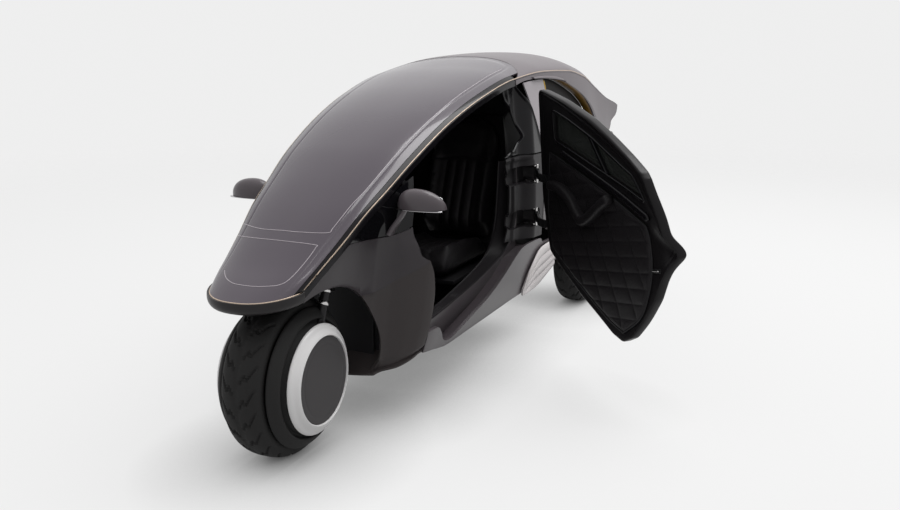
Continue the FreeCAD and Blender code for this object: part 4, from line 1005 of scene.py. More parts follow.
def on_door(flat, depth):
    """Side view points at a depth under the closed left door's outer skin, which follows the
    body side but flares outwards along its front edge, most at the tip."""
    flat = np.asarray(flat, float)
    x, z = flat[..., 0], flat[..., 1]
    tip = tip_flare * np.exp(-((x + 0.420) / 0.075) ** 2 - ((z - 0.716) / 0.055) ** 2)
    edge = frame_flare * np.exp(-((x + 0.440) / 0.085) ** 2 - ((z - 0.840) / 0.130) ** 2)
    return np.stack([x, skin(x, z) + tip + edge - depth, z], -1)


outline = crisp_curve(door_knots, 15)
hole = crisp_curve(hole_knots, 15)
reach = np.linalg.norm(hole - outline, axis=1)[:, None]
insets = np.array([0.0, 0.002, 0.006, 0.010, 0.014, 0.018, 0.022, 0.027, 0.032, 0.037, 0.042,
                   0.046])[None]
near_edge = insets / reach
near_hole = 1 - np.array([0.012, 0.006, 0.002, 0.0])[None] / reach
middle_share = np.linspace(0, 1, 11)[None, 1:-1]
middle = near_edge[:, -1:] * (1 - middle_share) + near_hole[:, :1] * middle_share
share_in = np.concatenate([near_edge, middle, near_hole], 1)
inset_now = share_in * reach
to_hole = (1 - share_in) * reach
edge_round = np.minimum(inset_now, to_hole)
outer_depth = np.interp(edge_round, [0, 0.002, 0.006], [0.007, 0.0018, 0.0])
inner_depth = door_wall - np.interp(edge_round, [0, 0.002, 0.006], [0.010, 0.0030, 0.0])
bead_fade = np.clip((outline[:, 1] - press_foot) / press_fade, 0, 1)[:, None]
beads = press_rise * sum(np.exp(-((inset_now - place) / press_spread) ** 2)
                         for place in press_places)
inner_depth = inner_depth + beads * bead_fade
flat = outline[:, None] * (1 - share_in[..., None]) + hole[:, None] * share_in[..., None]
outer_face = on_door(flat, outer_depth)
inner_face = on_door(flat, inner_depth)[:, ::-1]
ring_grid = np.concatenate([outer_face, inner_face], 1)
door_pieces("door_skins", ring_grid.reshape(-1, 3),
            grid_faces(ring_grid.shape[0], ring_grid.shape[1], around=True, across=True),
            door_paint, "body_dark", "door_shell")

# Door glass: one pane set into the middle of the wall, with a rubber seal round the hole on the
# inside and a gloss post that divides it.
door_glazing = finish("door glazing", (0.034, 0.037, 0.034), (0.040, 0.043, 0.040),
                      (0.10, 0.16), Coat_Weight=0.4, Coat_Roughness=0.04)
pane_depth = 0.020
divider_depth = 0.030
pane_wall = 0.004
pane = patch(hole_knots[8:24], hole_knots[5::-1], hole_knots[8:4:-1],
             np.concatenate([hole_knots[23:], hole_knots[:1]]), 20, 60)
pane_points, pane_quads = side_slab(on_door(pane, pane_depth), pane_wall)
door_pieces("door_glass", pane_points, pane_quads, door_glazing, "tinted_glass",
            "door_window")
seal = swept(on_door(hole, door_wall + 0.001), (0, 1, 0), 0.0055, 0.0045, 2.2, 12, closed=True)
post_path = on_door(along_line(((-1.052, 1.158), (-0.912, 0.978)), 16, False), divider_depth)
post = swept(post_path, (0, 1, 0), 0.011, 0.014, 4.0, 20)
door_pieces("door_seals", *joined([seal, post]), band_gloss, "black_trim")

# Door trim: quilted black leather over thin foam on a board, stitched in lozenges, with piping
# round it. It is clipped to the wall, stands a little proud of it and has its edge turned under.

# Leather: small pebbles between creases, as a height and a mask that darkens the creases
leather_group, leather_in, leather_out = group_of(
    "leather pebble",
    [("Scale", "NodeSocketFloat", 300.0)],
    [("Mask", "NodeSocketFloat"), ("Height", "NodeSocketFloat")])
leather_coordinates = leather_group.nodes.new("ShaderNodeTexCoord")
leather_cells = leather_group.nodes.new("ShaderNodeTexVoronoi")
leather_cells.feature = "DISTANCE_TO_EDGE"
leather_range = leather_group.nodes.new("ShaderNodeMapRange")
leather_range.inputs["From Max"].default_value = 0.22
leather_links = leather_group.links
leather_links.new(leather_coordinates.outputs["Object"], leather_cells.inputs["Vector"])
leather_links.new(leather_in.outputs["Scale"], leather_cells.inputs["Scale"])
leather_links.new(leather_cells.outputs["Distance"], leather_range.inputs["Value"])
leather_links.new(leather_range.outputs[0], leather_out.inputs["Mask"])
leather_links.new(leather_range.outputs[0], leather_out.inputs["Height"])


black_leather = finish("black leather", (0.010, 0.009, 0.010), (0.019, 0.017, 0.019),
                       (0.34, 0.46), relief=0.0009, scale=420.0, group=leather_group,
                       Specular_IOR_Level=0.18)
black_trim = finish("grained black plastic", (0.011, 0.011, 0.012), (0.017, 0.016, 0.018),
                    (0.48, 0.60), relief=0.0006, scale=1400.0)
trim_proud = 0.007
quilt_rise = 0.0065
quilt_rows = 0.067
quilt_columns = 0.146
row_step, column_step, turn_under = 0.0032, 0.0045, 0.014
trim_low = ((-0.704, 0.336), (-0.863, 0.362), (-1.091, 0.428), (-1.276, 0.494), (-1.420, 0.560))
trim_high = ((-0.598, 0.815), (-0.861, 0.888), (-1.205, 0.968), (-1.460, 1.020))
trim_front = ((-0.704, 0.336), (-0.610, 0.420), (-0.566, 0.520), (-0.552, 0.640),
              (-0.598, 0.815))
trim_rear = ((-1.420, 0.560), (-1.468, 0.668), (-1.490, 0.790), (-1.460, 1.020))
trim = patch(trim_low, trim_high, trim_front, trim_rear, 150, 190)
rows, columns = trim.shape[:2]
i = np.minimum(np.arange(rows), np.arange(rows)[::-1])[:, None]
j = np.minimum(np.arange(columns), np.arange(columns)[::-1])[None, :]
from_edge = np.minimum(i * row_step, j * column_step)
edge_share = np.sqrt(np.clip(1 - (1 - np.clip(from_edge / turn_under, 0, 1)) ** 2, 0, 1))
first = (trim[..., 1] - 0.2 * trim[..., 0]) / quilt_rows
second = (trim[..., 0] + 0.8 * trim[..., 1]) / quilt_columns
pillow = (np.sin(np.pi * first) ** 2) ** 0.16 * (np.sin(np.pi * second) ** 2) ** 0.11
trim_depth = door_wall - 0.003 + (trim_proud + 0.003) * edge_share
trim_depth = trim_depth + quilt_rise * pillow * np.clip(from_edge / 0.02, 0, 1)
front_skin = on_door(trim, trim_depth)
count = rows * columns
loop = np.concatenate([np.arange(columns)[:-1], np.arange(rows)[:-1] * columns + columns - 1,
                       (rows - 1) * columns + np.arange(columns)[:0:-1],
                       np.arange(rows)[:0:-1] * columns])
edge_places = trim.reshape(-1, 2)[loop]
edge_middle = edge_places.mean(0)
back_rings = edge_middle + (edge_places - edge_middle) * np.array([1.0, 0.8])[:, None, None]
back_skin = on_door(back_rings, door_wall - 0.004)
around = np.arange(len(loop))
after = np.roll(around, -1)
rim = np.stack([loop, loop[after], count + after, count + around], -1)
back_quads = np.concatenate([grid_faces(2, len(loop), around=True),
                             end_quads(len(loop), len(loop))]) + count
door_pieces("door_quilts", np.concatenate([front_skin.reshape(-1, 3), back_skin.reshape(-1, 3)]),
            np.concatenate([grid_faces(rows, columns), rim, back_quads]),
            black_leather, "black_leather", "door_trim")
piping_line = np.concatenate([along_line(trim_low, 60)[:-1], along_line(trim_rear, 40)[:-1],
                              along_line(trim_high, 60)[:0:-1], along_line(trim_front, 40)[:0:-1]])
piping = swept(on_door(piping_line, door_wall + 0.004), (0, 1, 0), 0.0045, 0.0045, 2.0, 12,
               closed=True)
door_pieces("door_piping", *piping, black_trim, "black_trim")

# Door furniture: a gloss belt strip with a rounded front end, an armrest moulded in a shallow V
# and covered in leather, and the latch plate on the front border, all screwed to the wall.
rim_black = finish("black rim paint", (0.014, 0.014, 0.015), (0.022, 0.022, 0.023),
                   (0.28, 0.36), relief=0.0002, scale=900.0, Coat_Weight=0.08,
                   Specular_IOR_Level=0.15)
fork_metal = finish("brushed bright metal", (0.52, 0.51, 0.51), (0.62, 0.61, 0.60),
                    (0.16, 0.26), relief=0.0003, scale=220.0, stretch=(8.0, 8.0, 0.4),
                    Metallic=1.0)
belt_half, belt_depth, belt_cap = 0.0145, 0.010, 0.018
arm_half, arm_depth, arm_cap = 0.024, 0.026, 0.034
strip_path = on_door(along_line(((-1.330, 1.036), (-1.205, 1.008), (-0.861, 0.932),
                                 (-0.556, 0.852)), 90), door_wall + 0.006)
strip = swept(strip_path, (0, 1, 0), belt_half, belt_depth, 2.6, 28, cap=belt_cap)
door_pieces("belt_strips", *strip, band_gloss, "black_trim")
arm_path = on_door(along_line(((-1.440, 0.868), (-1.330, 0.866), (-1.225, 0.832),
                               (-1.150, 0.772), (-1.100, 0.750), (-1.030, 0.782),
                               (-0.930, 0.848), (-0.850, 0.892)), 110), door_wall + 0.026)
arm = swept(arm_path, (0, 1, 0), arm_half, arm_depth, 3.0, 32, cap=arm_cap)
door_pieces("armrests", *arm, black_leather, "black_leather")
latch_path = on_door(along_line(((-0.560, 0.638), (-0.496, 0.650)), 30, False),
                     door_wall + 0.001)
latch = swept(latch_path, (0, 1, 0), 0.009, 0.004, 5.0, 24)
bolt_path = on_door(along_line(((-0.548, 0.6402), (-0.508, 0.6478)), 16, False),
                    door_wall + 0.004)
bolt = swept(bolt_path, (0, 1, 0), 0.0028, 0.004, 3.0, 12)
door_pieces("latch_plates", *latch, rim_black, "rim_black", round_width=0.0008)
door_pieces("latch_bolts", *bolt, fork_metal, "fork_metal")

# Door hinges: two black arms on each door, forged flat and cranked from the hollow barrels on the
# hinge line to the door's wall, where they are bolted on.
arm_heights = (0.660, 0.884)
crank = along_line(((-1.698, 0.4375), (-1.665, 0.430), (-1.610, 0.402), (-1.560, 0.384),
                    (-1.500, 0.384)), 40)
barrel_profile = np.array([(0.0080, -0.028), (0.0128, -0.028), (0.0140, -0.0265), (0.0140, 0.0265),
                           (0.0128, 0.028), (0.0080, 0.028)])
barrel_turn = np.linspace(0, 2 * np.pi, 32, endpoint=False)[None]
arms = []
for height in arm_heights:
    crank_path = np.concatenate([crank, np.full((len(crank), 1), height)], 1)
    arms.append(swept(crank_path, (0, 0, 1), 0.008, 0.020, 5.0, 28))
    barrel = np.stack([hinge_line[0] + barrel_profile[:, :1] * np.cos(barrel_turn),
                       hinge_line[1] + barrel_profile[:, :1] * np.sin(barrel_turn),
                       height + barrel_profile[:, 1:] + 0 * barrel_turn], -1)
    arms.append((barrel.reshape(-1, 3), grid_faces(6, 32, around=True, across=True)))
door_pieces("hinge_arms", *joined(arms), rim_black, "body_dark", round_width=0.001)

# Tyres: black rubber, a superellipse turned about the axle, with zigzag sipes cut across both
# halves of the tread. Depth of a sipe = full depth where the turn, shifted by the zigzag across
# the tread, passes a whole pitch, and it runs out on the shoulders.
tyre_rubber = finish("tyre rubber", (0.012, 0.012, 0.012), (0.024, 0.023, 0.023),
                     (0.62, 0.76), relief=0.0010, scale=520.0)
tyre_radius = 0.312
tyre_half_width = 0.083
tyre_bead_radius = 0.213
sipe_count = 22
lane_depth, lane_width = 0.0032, 0.055
wall_ring_rise, wall_ring_width = 0.0015, 0.0035
sipe_depth = 0.0085


def turned(profile, centre, segments):
    """Grid turned about a line through a centre that runs across the car: profile holds the
    offset across and the radius."""
    turn = np.linspace(0, 2 * np.pi, segments, endpoint=False)[None, :]
    radius = profile[:, 1:2]
    return np.stack([centre[0] + radius * np.cos(turn), centre[1] + profile[:, :1] + 0 * turn,
                     centre[2] + radius * np.sin(turn)], -1)


def tyre(name, centre, body, segments, node):
    """One treaded tyre on its body, in place of its node."""
    section = 88
    angle = np.linspace(0, 2 * np.pi, section, endpoint=False)
    middle = (tyre_radius + tyre_bead_radius) / 2
    half = (tyre_radius - tyre_bead_radius) / 2
    power = 2 / 2.45
    across = tyre_half_width * np.sign(np.sin(angle)) * np.abs(np.sin(angle)) ** power
    radius = middle + half * np.sign(np.cos(angle)) * np.abs(np.cos(angle)) ** power
    across = across * np.interp(radius, [tyre_bead_radius, middle], [0.80, 1.0])
    grid = turned(np.stack([across, radius], 1), centre, segments)
    turn = np.linspace(0, 1, segments, endpoint=False)[None, :] * sipe_count
    share = (across / tyre_half_width)[:, None]
    run = np.abs(share)
    zigzag = np.interp(run, [0.08, 0.34, 0.46, 0.80], [0.95, 0.42, 0.62, 0.0])
    place = np.abs((turn + zigzag + 0.5 * (share > 0)) % 1.0 - 0.5) * 2
    cut = np.clip((place - 0.82) / 0.05, 0, 1)
    on_tread = np.clip((radius[:, None] - (middle + half * 0.55)) / (half * 0.25), 0, 1)
    halves = np.clip((np.abs(share) - 0.10) / 0.06, 0, 1)
    depth = sipe_depth * cut * on_tread * halves
    lane = lane_depth * np.exp(-((share / lane_width) ** 2)) * on_tread
    ring_place = radius[:, None] - middle - half * 0.30
    ring = wall_ring_rise * np.exp(-((ring_place / wall_ring_width) ** 2))
    depth = depth + lane - ring
    away = grid - np.array(centre)
    away[..., 1] = 0
    away /= np.linalg.norm(away, axis=-1, keepdims=True)
    points = grid - away * depth[..., None]
    quads = grid_faces(section, segments, around=True, across=True)
    facing_out(piece(name, points, quads, tyre_rubber, body, [node]))


front_centre = (0.0, 0.0, wheel_height)
rear_centre = (-2.556, 0.450, wheel_height)
tyre("tread_front", front_centre, "front_wheel", 792, "front_tyre")
tyre("tread_rear_left", rear_centre, "rear_wheel_left", 528, "rear_tyre_left")
tyre("tread_rear_right", (rear_centre[0], -rear_centre[1], wheel_height), "rear_wheel_right",
     528, "rear_tyre_right")

# Front wheel covers: on each side of the fork a pale moulded ring, a dark disc inside it and a
# black drum behind it, all turned and fixed to the fork. The disc is a little domed and carries
# one fine groove.
pale_cover = finish("white wheel cover", (0.80, 0.79, 0.79), (0.84, 0.83, 0.83),
                    (0.30, 0.38), relief=0.0002, scale=800.0, Coat_Weight=0.4,
                    Coat_Roughness=0.15)
dark_cover = finish("dark cover disc", (0.044, 0.041, 0.043), (0.056, 0.052, 0.054),
                    (0.46, 0.54), relief=0.0004, scale=1100.0)
ring_knots = ((0.1400, 0.1960), (0.1420, 0.2060), (0.1480, 0.2110), (0.1545, 0.2085),
              (0.1650, 0.1930), (0.1775, 0.1745), (0.1790, 0.1700), (0.1740, 0.1678),
              (0.1560, 0.1678), (0.1420, 0.1720))
ring_profile = closed_curve(ring_knots, 6)
ring = turned(ring_profile, front_centre, 192)
points, quads = both(ring.reshape(-1, 3),
                     grid_faces(len(ring_profile), 192, around=True, across=True))
facing_out(piece("wheel_rings", points, quads, pale_cover, "fork",
                 ["cover_rings"]))
drum_profile = np.concatenate([
    [(0.112, 0.004), (0.112, 0.190)],
    along_line(((0.096, 0.216), (0.0905, 0.240), (0.0900, 0.258), (0.0940, 0.266),
                (0.1020, 0.265), (0.1140, 0.255), (0.1250, 0.243), (0.1300, 0.233),
                (0.1290, 0.2265), (0.1240, 0.2240)), 40),
    [(0.1120, 0.2225), (0.1120, 0.2060), (0.1400, 0.2040), (0.1400, 0.004)]])
drum = turned(drum_profile, front_centre, 160)
rows = len(drum_profile)
quads = np.concatenate([grid_faces(rows, 160, around=True), end_quads(0, 160),
                        end_quads((rows - 1) * 160, 160)[:, ::-1]])
points, quads = both(drum.reshape(-1, 3), quads)
facing_out(piece("wheel_drums", points, quads, tyre_rubber, "fork"))
disc_radius = 0.1675
disc_edge, disc_dome, groove_depth = 0.004, 0.0035, 0.0016
disc_out, disc_in = 0.1770, 0.1405
span = np.linspace(0.02, 1, 40)
dome = disc_out - disc_dome * span**2 - groove_depth * np.exp(-((span - 0.86) / 0.012) ** 2)
edge_turn = np.linspace(0, np.pi / 2, 8)[1:]
disc_profile = np.concatenate([
    np.stack([dome, span * (disc_radius - disc_edge)], 1),
    np.stack([dome[-1] - disc_edge * (1 - np.cos(edge_turn)),
              disc_radius - disc_edge + disc_edge * np.sin(edge_turn)], 1),
    np.array([(disc_in, disc_radius), (disc_in, disc_radius - disc_edge), (disc_in, 0.003)])])
disc = turned(disc_profile, front_centre, 160)
rows = len(disc_profile)
quads = np.concatenate([grid_faces(rows, 160, around=True), end_quads(0, 160),
                        end_quads((rows - 1) * 160, 160)[:, ::-1]])
points, quads = both(disc.reshape(-1, 3), quads)
facing_out(piece("wheel_discs", points, quads, dark_cover, "fork",
                 ["cover_discs"]))

# Fork collars: two chromed clamp bands on each leg, turned and slipped over it. The leg leans
# back with the steering's rake.
rake = math.radians(23.0)
leg_side, collar_radius = 0.112, 0.0225
collars = []
for up in (0.285, 0.335):
    foot = np.array([-math.sin(rake) * up, leg_side, wheel_height + math.cos(rake) * up])
    lean = np.array([-math.sin(rake), 0.0, math.cos(rake)])
    path = foot + lean * np.array([-0.008, -0.007, 0.0, 0.007, 0.008])[:, None]
    size = np.array([0.92, 1.0, 1.0, 1.0, 0.92]) * collar_radius
    collars.append(swept(path, (0, 1, 0), size, size, 2.0, 32))
points, quads = both(*joined(collars))
facing_out(piece("fork_collars", points, quads, fork_metal, "fork"))

# Mirrors: painted teardrop shells on slim stalks, flat below, with a bright lower plate and the
# glass set into the rear face. Height and depth at each share of the reach swell from the inner
# end and fall to the tip, and the section is a superellipse cut flat at the back.
mirror_paint = finish("mirror shell paint", (0.085, 0.072, 0.080), (0.105, 0.090, 0.099),
                      (0.30, 0.38), relief=0.0002, scale=900.0, Coat_Weight=0.3,
                      Coat_Roughness=0.2)
mirror_silver = finish("mirror silver", (0.78, 0.79, 0.80), (0.84, 0.85, 0.86), (0.02, 0.04),
                       Metallic=1.0)
lower_bright = finish("bright lower plate", (0.42, 0.41, 0.42), (0.50, 0.49, 0.50),
                      (0.16, 0.24), Metallic=1.0)
mirror_start, mirror_end = 0.288, 0.493
mirror_back, mirror_depth = -0.4175, 0.078
mirror_floor, mirror_height = 0.910, 0.087
reach = np.linspace(0, 1, 64)
swell = np.maximum(np.sqrt(np.maximum(1 - np.abs(reach * 2 - 1) ** 2.3, 0)), 0.05)
swell = swell * (1 - 0.22 * reach)
angle = np.linspace(0, 2 * np.pi, 48, endpoint=False)
power = 2 / 2.15
c = np.sign(np.cos(angle)) * np.abs(np.cos(angle)) ** power
d = np.sign(np.sin(angle)) * np.abs(np.sin(angle)) ** power
x = mirror_back + mirror_depth * swell[:, None] * np.clip(c * 0.60 + 0.40, 0, 1)[None]
z = mirror_floor + mirror_height * swell[:, None] * np.clip(d * 0.78 + 0.22, 0, 1)[None]
y = mirror_start + (mirror_end - mirror_start) * reach[:, None] + 0 * c[None]
shell_grid = np.stack([x, y, z], -1)
rows = len(reach)
quads = np.concatenate([grid_faces(rows, 48, around=True), end_quads(0, 48),
                        end_quads((rows - 1) * 48, 48)[:, ::-1]])
stalk_path = along_line(((-0.362, 0.272, 0.806), (-0.366, 0.292, 0.840), (-0.374, 0.322, 0.885),
                         (-0.380, 0.340, 0.925)), 24)
stalk = swept(stalk_path, (1, 0, 0), np.linspace(0.012, 0.008, 24), np.linspace(0.026, 0.015, 24),
              2.4, 24)
points, quads = both(*joined([(shell_grid.reshape(-1, 3), quads), stalk]))
rounded(facing_out(piece("mirror_shells", points, quads, mirror_paint, "body",
                         ["mirrors"])), 0.0015)
glass_path = along_line(((mirror_back - 0.0015, mirror_start + 0.016, mirror_floor + 0.036),
                         (mirror_back - 0.0015, mirror_end - 0.020, mirror_floor + 0.030)), 50)
glass_half = 0.030 * np.maximum(np.interp(np.linspace(0.04, 0.94, 50), reach, swell), 0.2)
points, quads = both(*swept(glass_path, (1, 0, 0), glass_half, 0.0015, 2.6, 32))
facing_out(piece("mirror_glazing", points, quads, mirror_silver, "body",
                 ["mirror_glasses"]))
plate_path = along_line(((mirror_back + 0.036, mirror_start + 0.004, mirror_floor - 0.003),
                         (mirror_back + 0.036, mirror_end - 0.004, mirror_floor - 0.003)), 50)
plate_half = 0.037 * np.interp(np.linspace(0, 1, 50), reach, swell)
points, quads = both(*swept(plate_path, (1, 0, 0), 0.0028, plate_half, 3.0, 24))
facing_out(piece("mirror_plates", points, quads, lower_bright, "body"))

# Door posts: gloss black blades behind each doorway, sunk under the shut door and flush behind
# it, over a lower panel with a ledge and two pockets, in which the hinge pins stand.
post_sunk = 0.058
flush_from, flush_to = -1.690, -1.580
pocket_depth = 0.046
pocket_middle, pocket_half_length, pocket_half_height = -1.610, 0.142, 0.046
blade_wall, blade_roll, lower_wall = 0.010, 0.006, 0.008
shelf_rise, shelf_height, shelf_spread = 0.008, 0.972, 0.014
trim_from, trim_to, trim_room = -1.535, -1.505, 0.012


def under_door(flat):
    """How deep the post lies under the body side: sunk where the door shuts over it, and a
    little more where the door's trim does."""
    u = np.clip((flat[..., 0] - flush_from) / (flush_to - flush_from), 0, 1)
    v = np.clip((flat[..., 0] - trim_from) / (trim_to - trim_from), 0, 1)
    return post_sunk * u * u * (3 - 2 * u) + trim_room * v * v * (3 - 2 * v)


blade = patch(((-1.440, 0.988), (-1.600, 0.992), (-1.885, 0.984)),
              ((-1.462, 1.330), (-1.530, 1.346), (-1.598, 1.356)),
              ((-1.440, 0.988), (-1.505, 1.004), (-1.565, 1.034), (-1.612, 1.072),
               (-1.600, 1.112), (-1.550, 1.186), (-1.500, 1.256), (-1.462, 1.330)),
              ((-1.885, 0.984), (-1.832, 1.020), (-1.786, 1.076), (-1.741, 1.146),
               (-1.700, 1.210), (-1.650, 1.280), (-1.598, 1.356)), 90, 44)
span = np.linspace(0, 1, 44)[None, :]
roll = blade_roll * (np.exp(-((span - 0.06) / 0.05) ** 2)
                     + np.exp(-((span - 0.93) / 0.05) ** 2))
blade_side = on_side(blade, under_door(blade) - roll)
points, quads = both(*side_slab(blade_side, blade_wall))
rounded(facing_out(piece("door_posts", points, quads, band_gloss, "body",
                         ["b_posts"])), 0.0012)
lower_post = patch(((-1.440, 0.566), (-1.560, 0.556), (-1.690, 0.552), (-1.797, 0.546)),
                   ((-1.440, 0.980), (-1.600, 0.984), (-1.885, 0.978)),
                   ((-1.440, 0.566), (-1.478, 0.640), (-1.486, 0.720), (-1.490, 0.850),
                    (-1.440, 0.980)),
                   ((-1.797, 0.546), (-1.802, 0.700), (-1.803, 0.800), (-1.804, 0.940),
                    (-1.885, 0.978)), 100, 92)
shelf = shelf_rise * np.exp(-((lower_post[..., 1] - shelf_height) / shelf_spread) ** 2)
depth = under_door(lower_post) - shelf
for height in arm_heights:
    reach_x = np.abs(lower_post[..., 0] - pocket_middle) / pocket_half_length
    reach_z = np.abs(lower_post[..., 1] - height) / pocket_half_height
    inside = (reach_x**5 + reach_z**5) ** 0.2
    u = np.clip((1.0 - inside) / 0.10, 0, 1)
    depth = np.maximum(depth, u * u * (3 - 2 * u) * (post_sunk + pocket_depth * 0.6))
points, quads = both(*side_slab(on_side(lower_post, depth), lower_wall))
rounded(facing_out(piece("post_panels", points, quads, sill_grey, "body")), 0.0010)
pin_radius, pin_end = 0.0068, 0.006
pin_sizes = np.array([pin_end] + [pin_radius] * 4 + [pin_end])
pins = []
for height in arm_heights:
    pin_path = np.array([(hinge_line[0], hinge_line[1], height + offset)
                         for offset in (-0.048, -0.0465, -0.030, 0.030, 0.0465, 0.048)])
    pins.append(swept(pin_path, (1, 0, 0), pin_sizes, pin_sizes, 2.0, 24))
    for offset in (-0.041, 0.041):
        lug_path = along_line(((-1.709, 0.440, height + offset),
                               (-1.716, 0.410, height + offset),
                               (-1.720, 0.372, height + offset)), 14)
        pins.append(swept(lug_path, (0, 0, 1), 0.013, 0.0065, 4.0, 20, cap=0.006))
points, quads = both(*joined(pins))
facing_out(piece("hinge_pins", points, quads, fork_metal, "body"))

# Cabin quarters: pale painted panels behind the posts, formed from sheet and bonded on, with a
# moulded amber strip down their rear edge and a small foot below them.
quarter_paint = finish("pale quarter paint", (0.34, 0.31, 0.33), (0.39, 0.36, 0.38),
                       (0.34, 0.42), relief=0.0002, scale=900.0, Coat_Weight=0.2,
                       Coat_Roughness=0.2)
amber = finish("amber edge", (0.62, 0.38, 0.02), (0.70, 0.44, 0.03), (0.32, 0.40))
quarter_panel = patch(((-1.792, 1.082), (-1.840, 1.094), (-1.893, 1.112)),
                      ((-1.606, 1.345), (-1.750, 1.353), (-1.890, 1.355)),
                      ((-1.792, 1.082), (-1.747, 1.150), (-1.706, 1.214), (-1.656, 1.282),
                       (-1.606, 1.345)),
                      ((-1.893, 1.112), (-1.918, 1.216), (-1.918, 1.290), (-1.890, 1.355)),
                      60, 36)
points, quads = both(*side_slab(on_side(quarter_panel, 0.004), 0.008))
rounded(facing_out(piece("cabin_panels", points, quads, quarter_paint, "body",
                         ["cabin_quarters"])), 0.003)
amber_path = on_side(along_line(((-1.905, 1.118), (-1.916, 1.150), (-1.930, 1.216),
                                 (-1.930, 1.290), (-1.902, 1.352)), 60), 0.010)
points, quads = both(*swept(amber_path, (0, 1, 0), 0.0055, 0.006, 3.0, 16, cap=0.006))
facing_out(piece("amber_strips", points, quads, amber, "body"))
foot_panel = patch(((-1.892, 0.984), (-1.990, 0.984)), ((-1.796, 1.076), (-1.960, 1.120)),
                   ((-1.892, 0.984), (-1.838, 1.022), (-1.796, 1.076)),
                   ((-1.990, 0.984), (-1.985, 1.050), (-1.960, 1.120)), 24, 24)
points, quads = both(*side_slab(on_side(foot_panel, 0.008), 0.008))
rounded(facing_out(piece("post_feet", points, quads, quarter_paint, "body")),
        0.002)

# Tail sides: painted bands over the rear arch, from the roof's edge to the arch's inner rim,
# widening into the tail, formed from sheet. An amber return is bent inwards from the rim, its
# colour darkened as painted shade, and a black lining closes the arch behind it.
# The return's colour is the edge amber darkened as painted shade for its inward face.
shaded_amber = finish("amber return with painted shade", (0.17, 0.088, 0.008), (0.21, 0.110, 0.012),
                    (0.34, 0.44))
chassis_black = finish("black chassis paint", (0.007, 0.007, 0.0075), (0.012, 0.0115, 0.012),
                       (0.50, 0.62), relief=0.0005, scale=500.0)
rim_line = ((-1.503, 1.336), (-1.620, 1.354), (-1.800, 1.362), (-1.985, 1.360), (-2.155, 1.343),
            (-2.336, 1.303), (-2.547, 1.238), (-2.732, 1.147), (-2.868, 1.030), (-2.912, 0.980))
band_wall, arch_lining_sunk, arch_lining_wall = 0.010, 0.062, 0.004
edge_shares = np.linspace(0.4880, 1 - tail_round, 30)
edge_points = shell(edge_shares, 1.0)
edge_line = np.stack([edge_points[:, 0], edge_points[:, 2] - 0.002], 1)
tail_end = along_line(((-2.912, 0.980), (-3.060, 0.980), (-3.190, 0.984), (-3.224, 1.006),
                       (-3.240, 1.040), (-3.280, 1.056), (-3.322, 1.072), (-3.345, 1.096),
                       tuple(edge_line[-1])), 40)
front_end = np.array((rim_line[0], tuple(edge_line[0])))
band_rows = 40
band = patch(rim_line, edge_line, front_end, tail_end, band_rows, 160)
band_sunk = 0.004 * np.exp(-(np.linspace(0, 1, band_rows)[:, None] / 0.06) ** 2)
points, quads = both(*side_slab(on_side(band, band_sunk), band_wall))
rounded(facing_out(piece("tail_bands", points, quads, roof_satin, "body",
                         ["tail_sides"])), 0.002)
return_line = along_line(rim_line[2:], 120)
inward = np.array([0.006, 0.030, 0.060])
wall = np.stack([on_side(return_line + np.array([0, 0.002]), w) for w in inward], 1)
points, quads = both(*slab(wall, 0.003, flip=normals_of(wall)[60, 1, 2] < 0))
facing_out(piece("arch_returns", points, quads, shaded_amber, "body"))
arch_lining = patch(((-1.925, 0.985), (-2.868, 0.985)), ((-1.925, 1.361),) + rim_line[3:-1],
                    ((-1.925, 0.985), (-1.925, 1.361)), ((-2.868, 0.985), (-2.868, 1.030)), 30, 80)
points, quads = both(*side_slab(on_side(arch_lining, arch_lining_sunk), arch_lining_wall))
facing_out(piece("arch_linings", points, quads, chassis_black, "body"))

# Rear quarters: painted panels round each rear wheel, pressed from sheet and turned outwards in a
# rolled lip at the wheel's opening. Each is a fan of rays from the wheel's centre to its outline.
rear_opening = 0.356
wing_wall, wing_lip_rise, wing_lip_spread = 0.012, 0.012, 0.018
quarter_outline = np.array(((-2.034, 0.352), (-2.034, 0.508), (-1.812, 0.508), (-1.812, 0.972),
                            (-2.300, 0.973), (-2.800, 0.973), (-3.215, 0.973), (-3.290, 0.964),
                            (-3.332, 0.940), (-3.348, 0.900), (-3.340, 0.840), (-3.300, 0.650),
                            (-3.262, 0.480), (-3.236, 0.412), (-3.190, 0.372), (-3.120, 0.357),
                            (-2.960, 0.352)))
walk = along_line(quarter_outline, 1400, False)
from_wheel = walk - np.array([rear_centre[0], wheel_height])
ray = np.unwrap(np.arctan2(from_wheel[:, 1], from_wheel[:, 0]))
rays = np.linspace(ray[0], ray[-1], 200)
far = np.interp(rays, ray, np.linalg.norm(from_wheel, axis=1))[:, None]
share_out = np.linspace(0, 1, 40)[None] ** 1.25
radius = rear_opening + (far - rear_opening) * share_out
fan = np.stack([rear_centre[0] + radius * np.cos(rays)[:, None],
                wheel_height + radius * np.sin(rays)[:, None]], -1)
lip_out = wing_lip_rise * np.exp(-((radius - rear_opening) / wing_lip_spread) ** 2)
fan_side = on_side(fan, -lip_out)
points, quads = both(*side_slab(fan_side, wing_wall))
rounded(facing_out(piece("rear_wings", points, quads, body_grey, "body",
                         ["rear_quarters"])), 0.002)

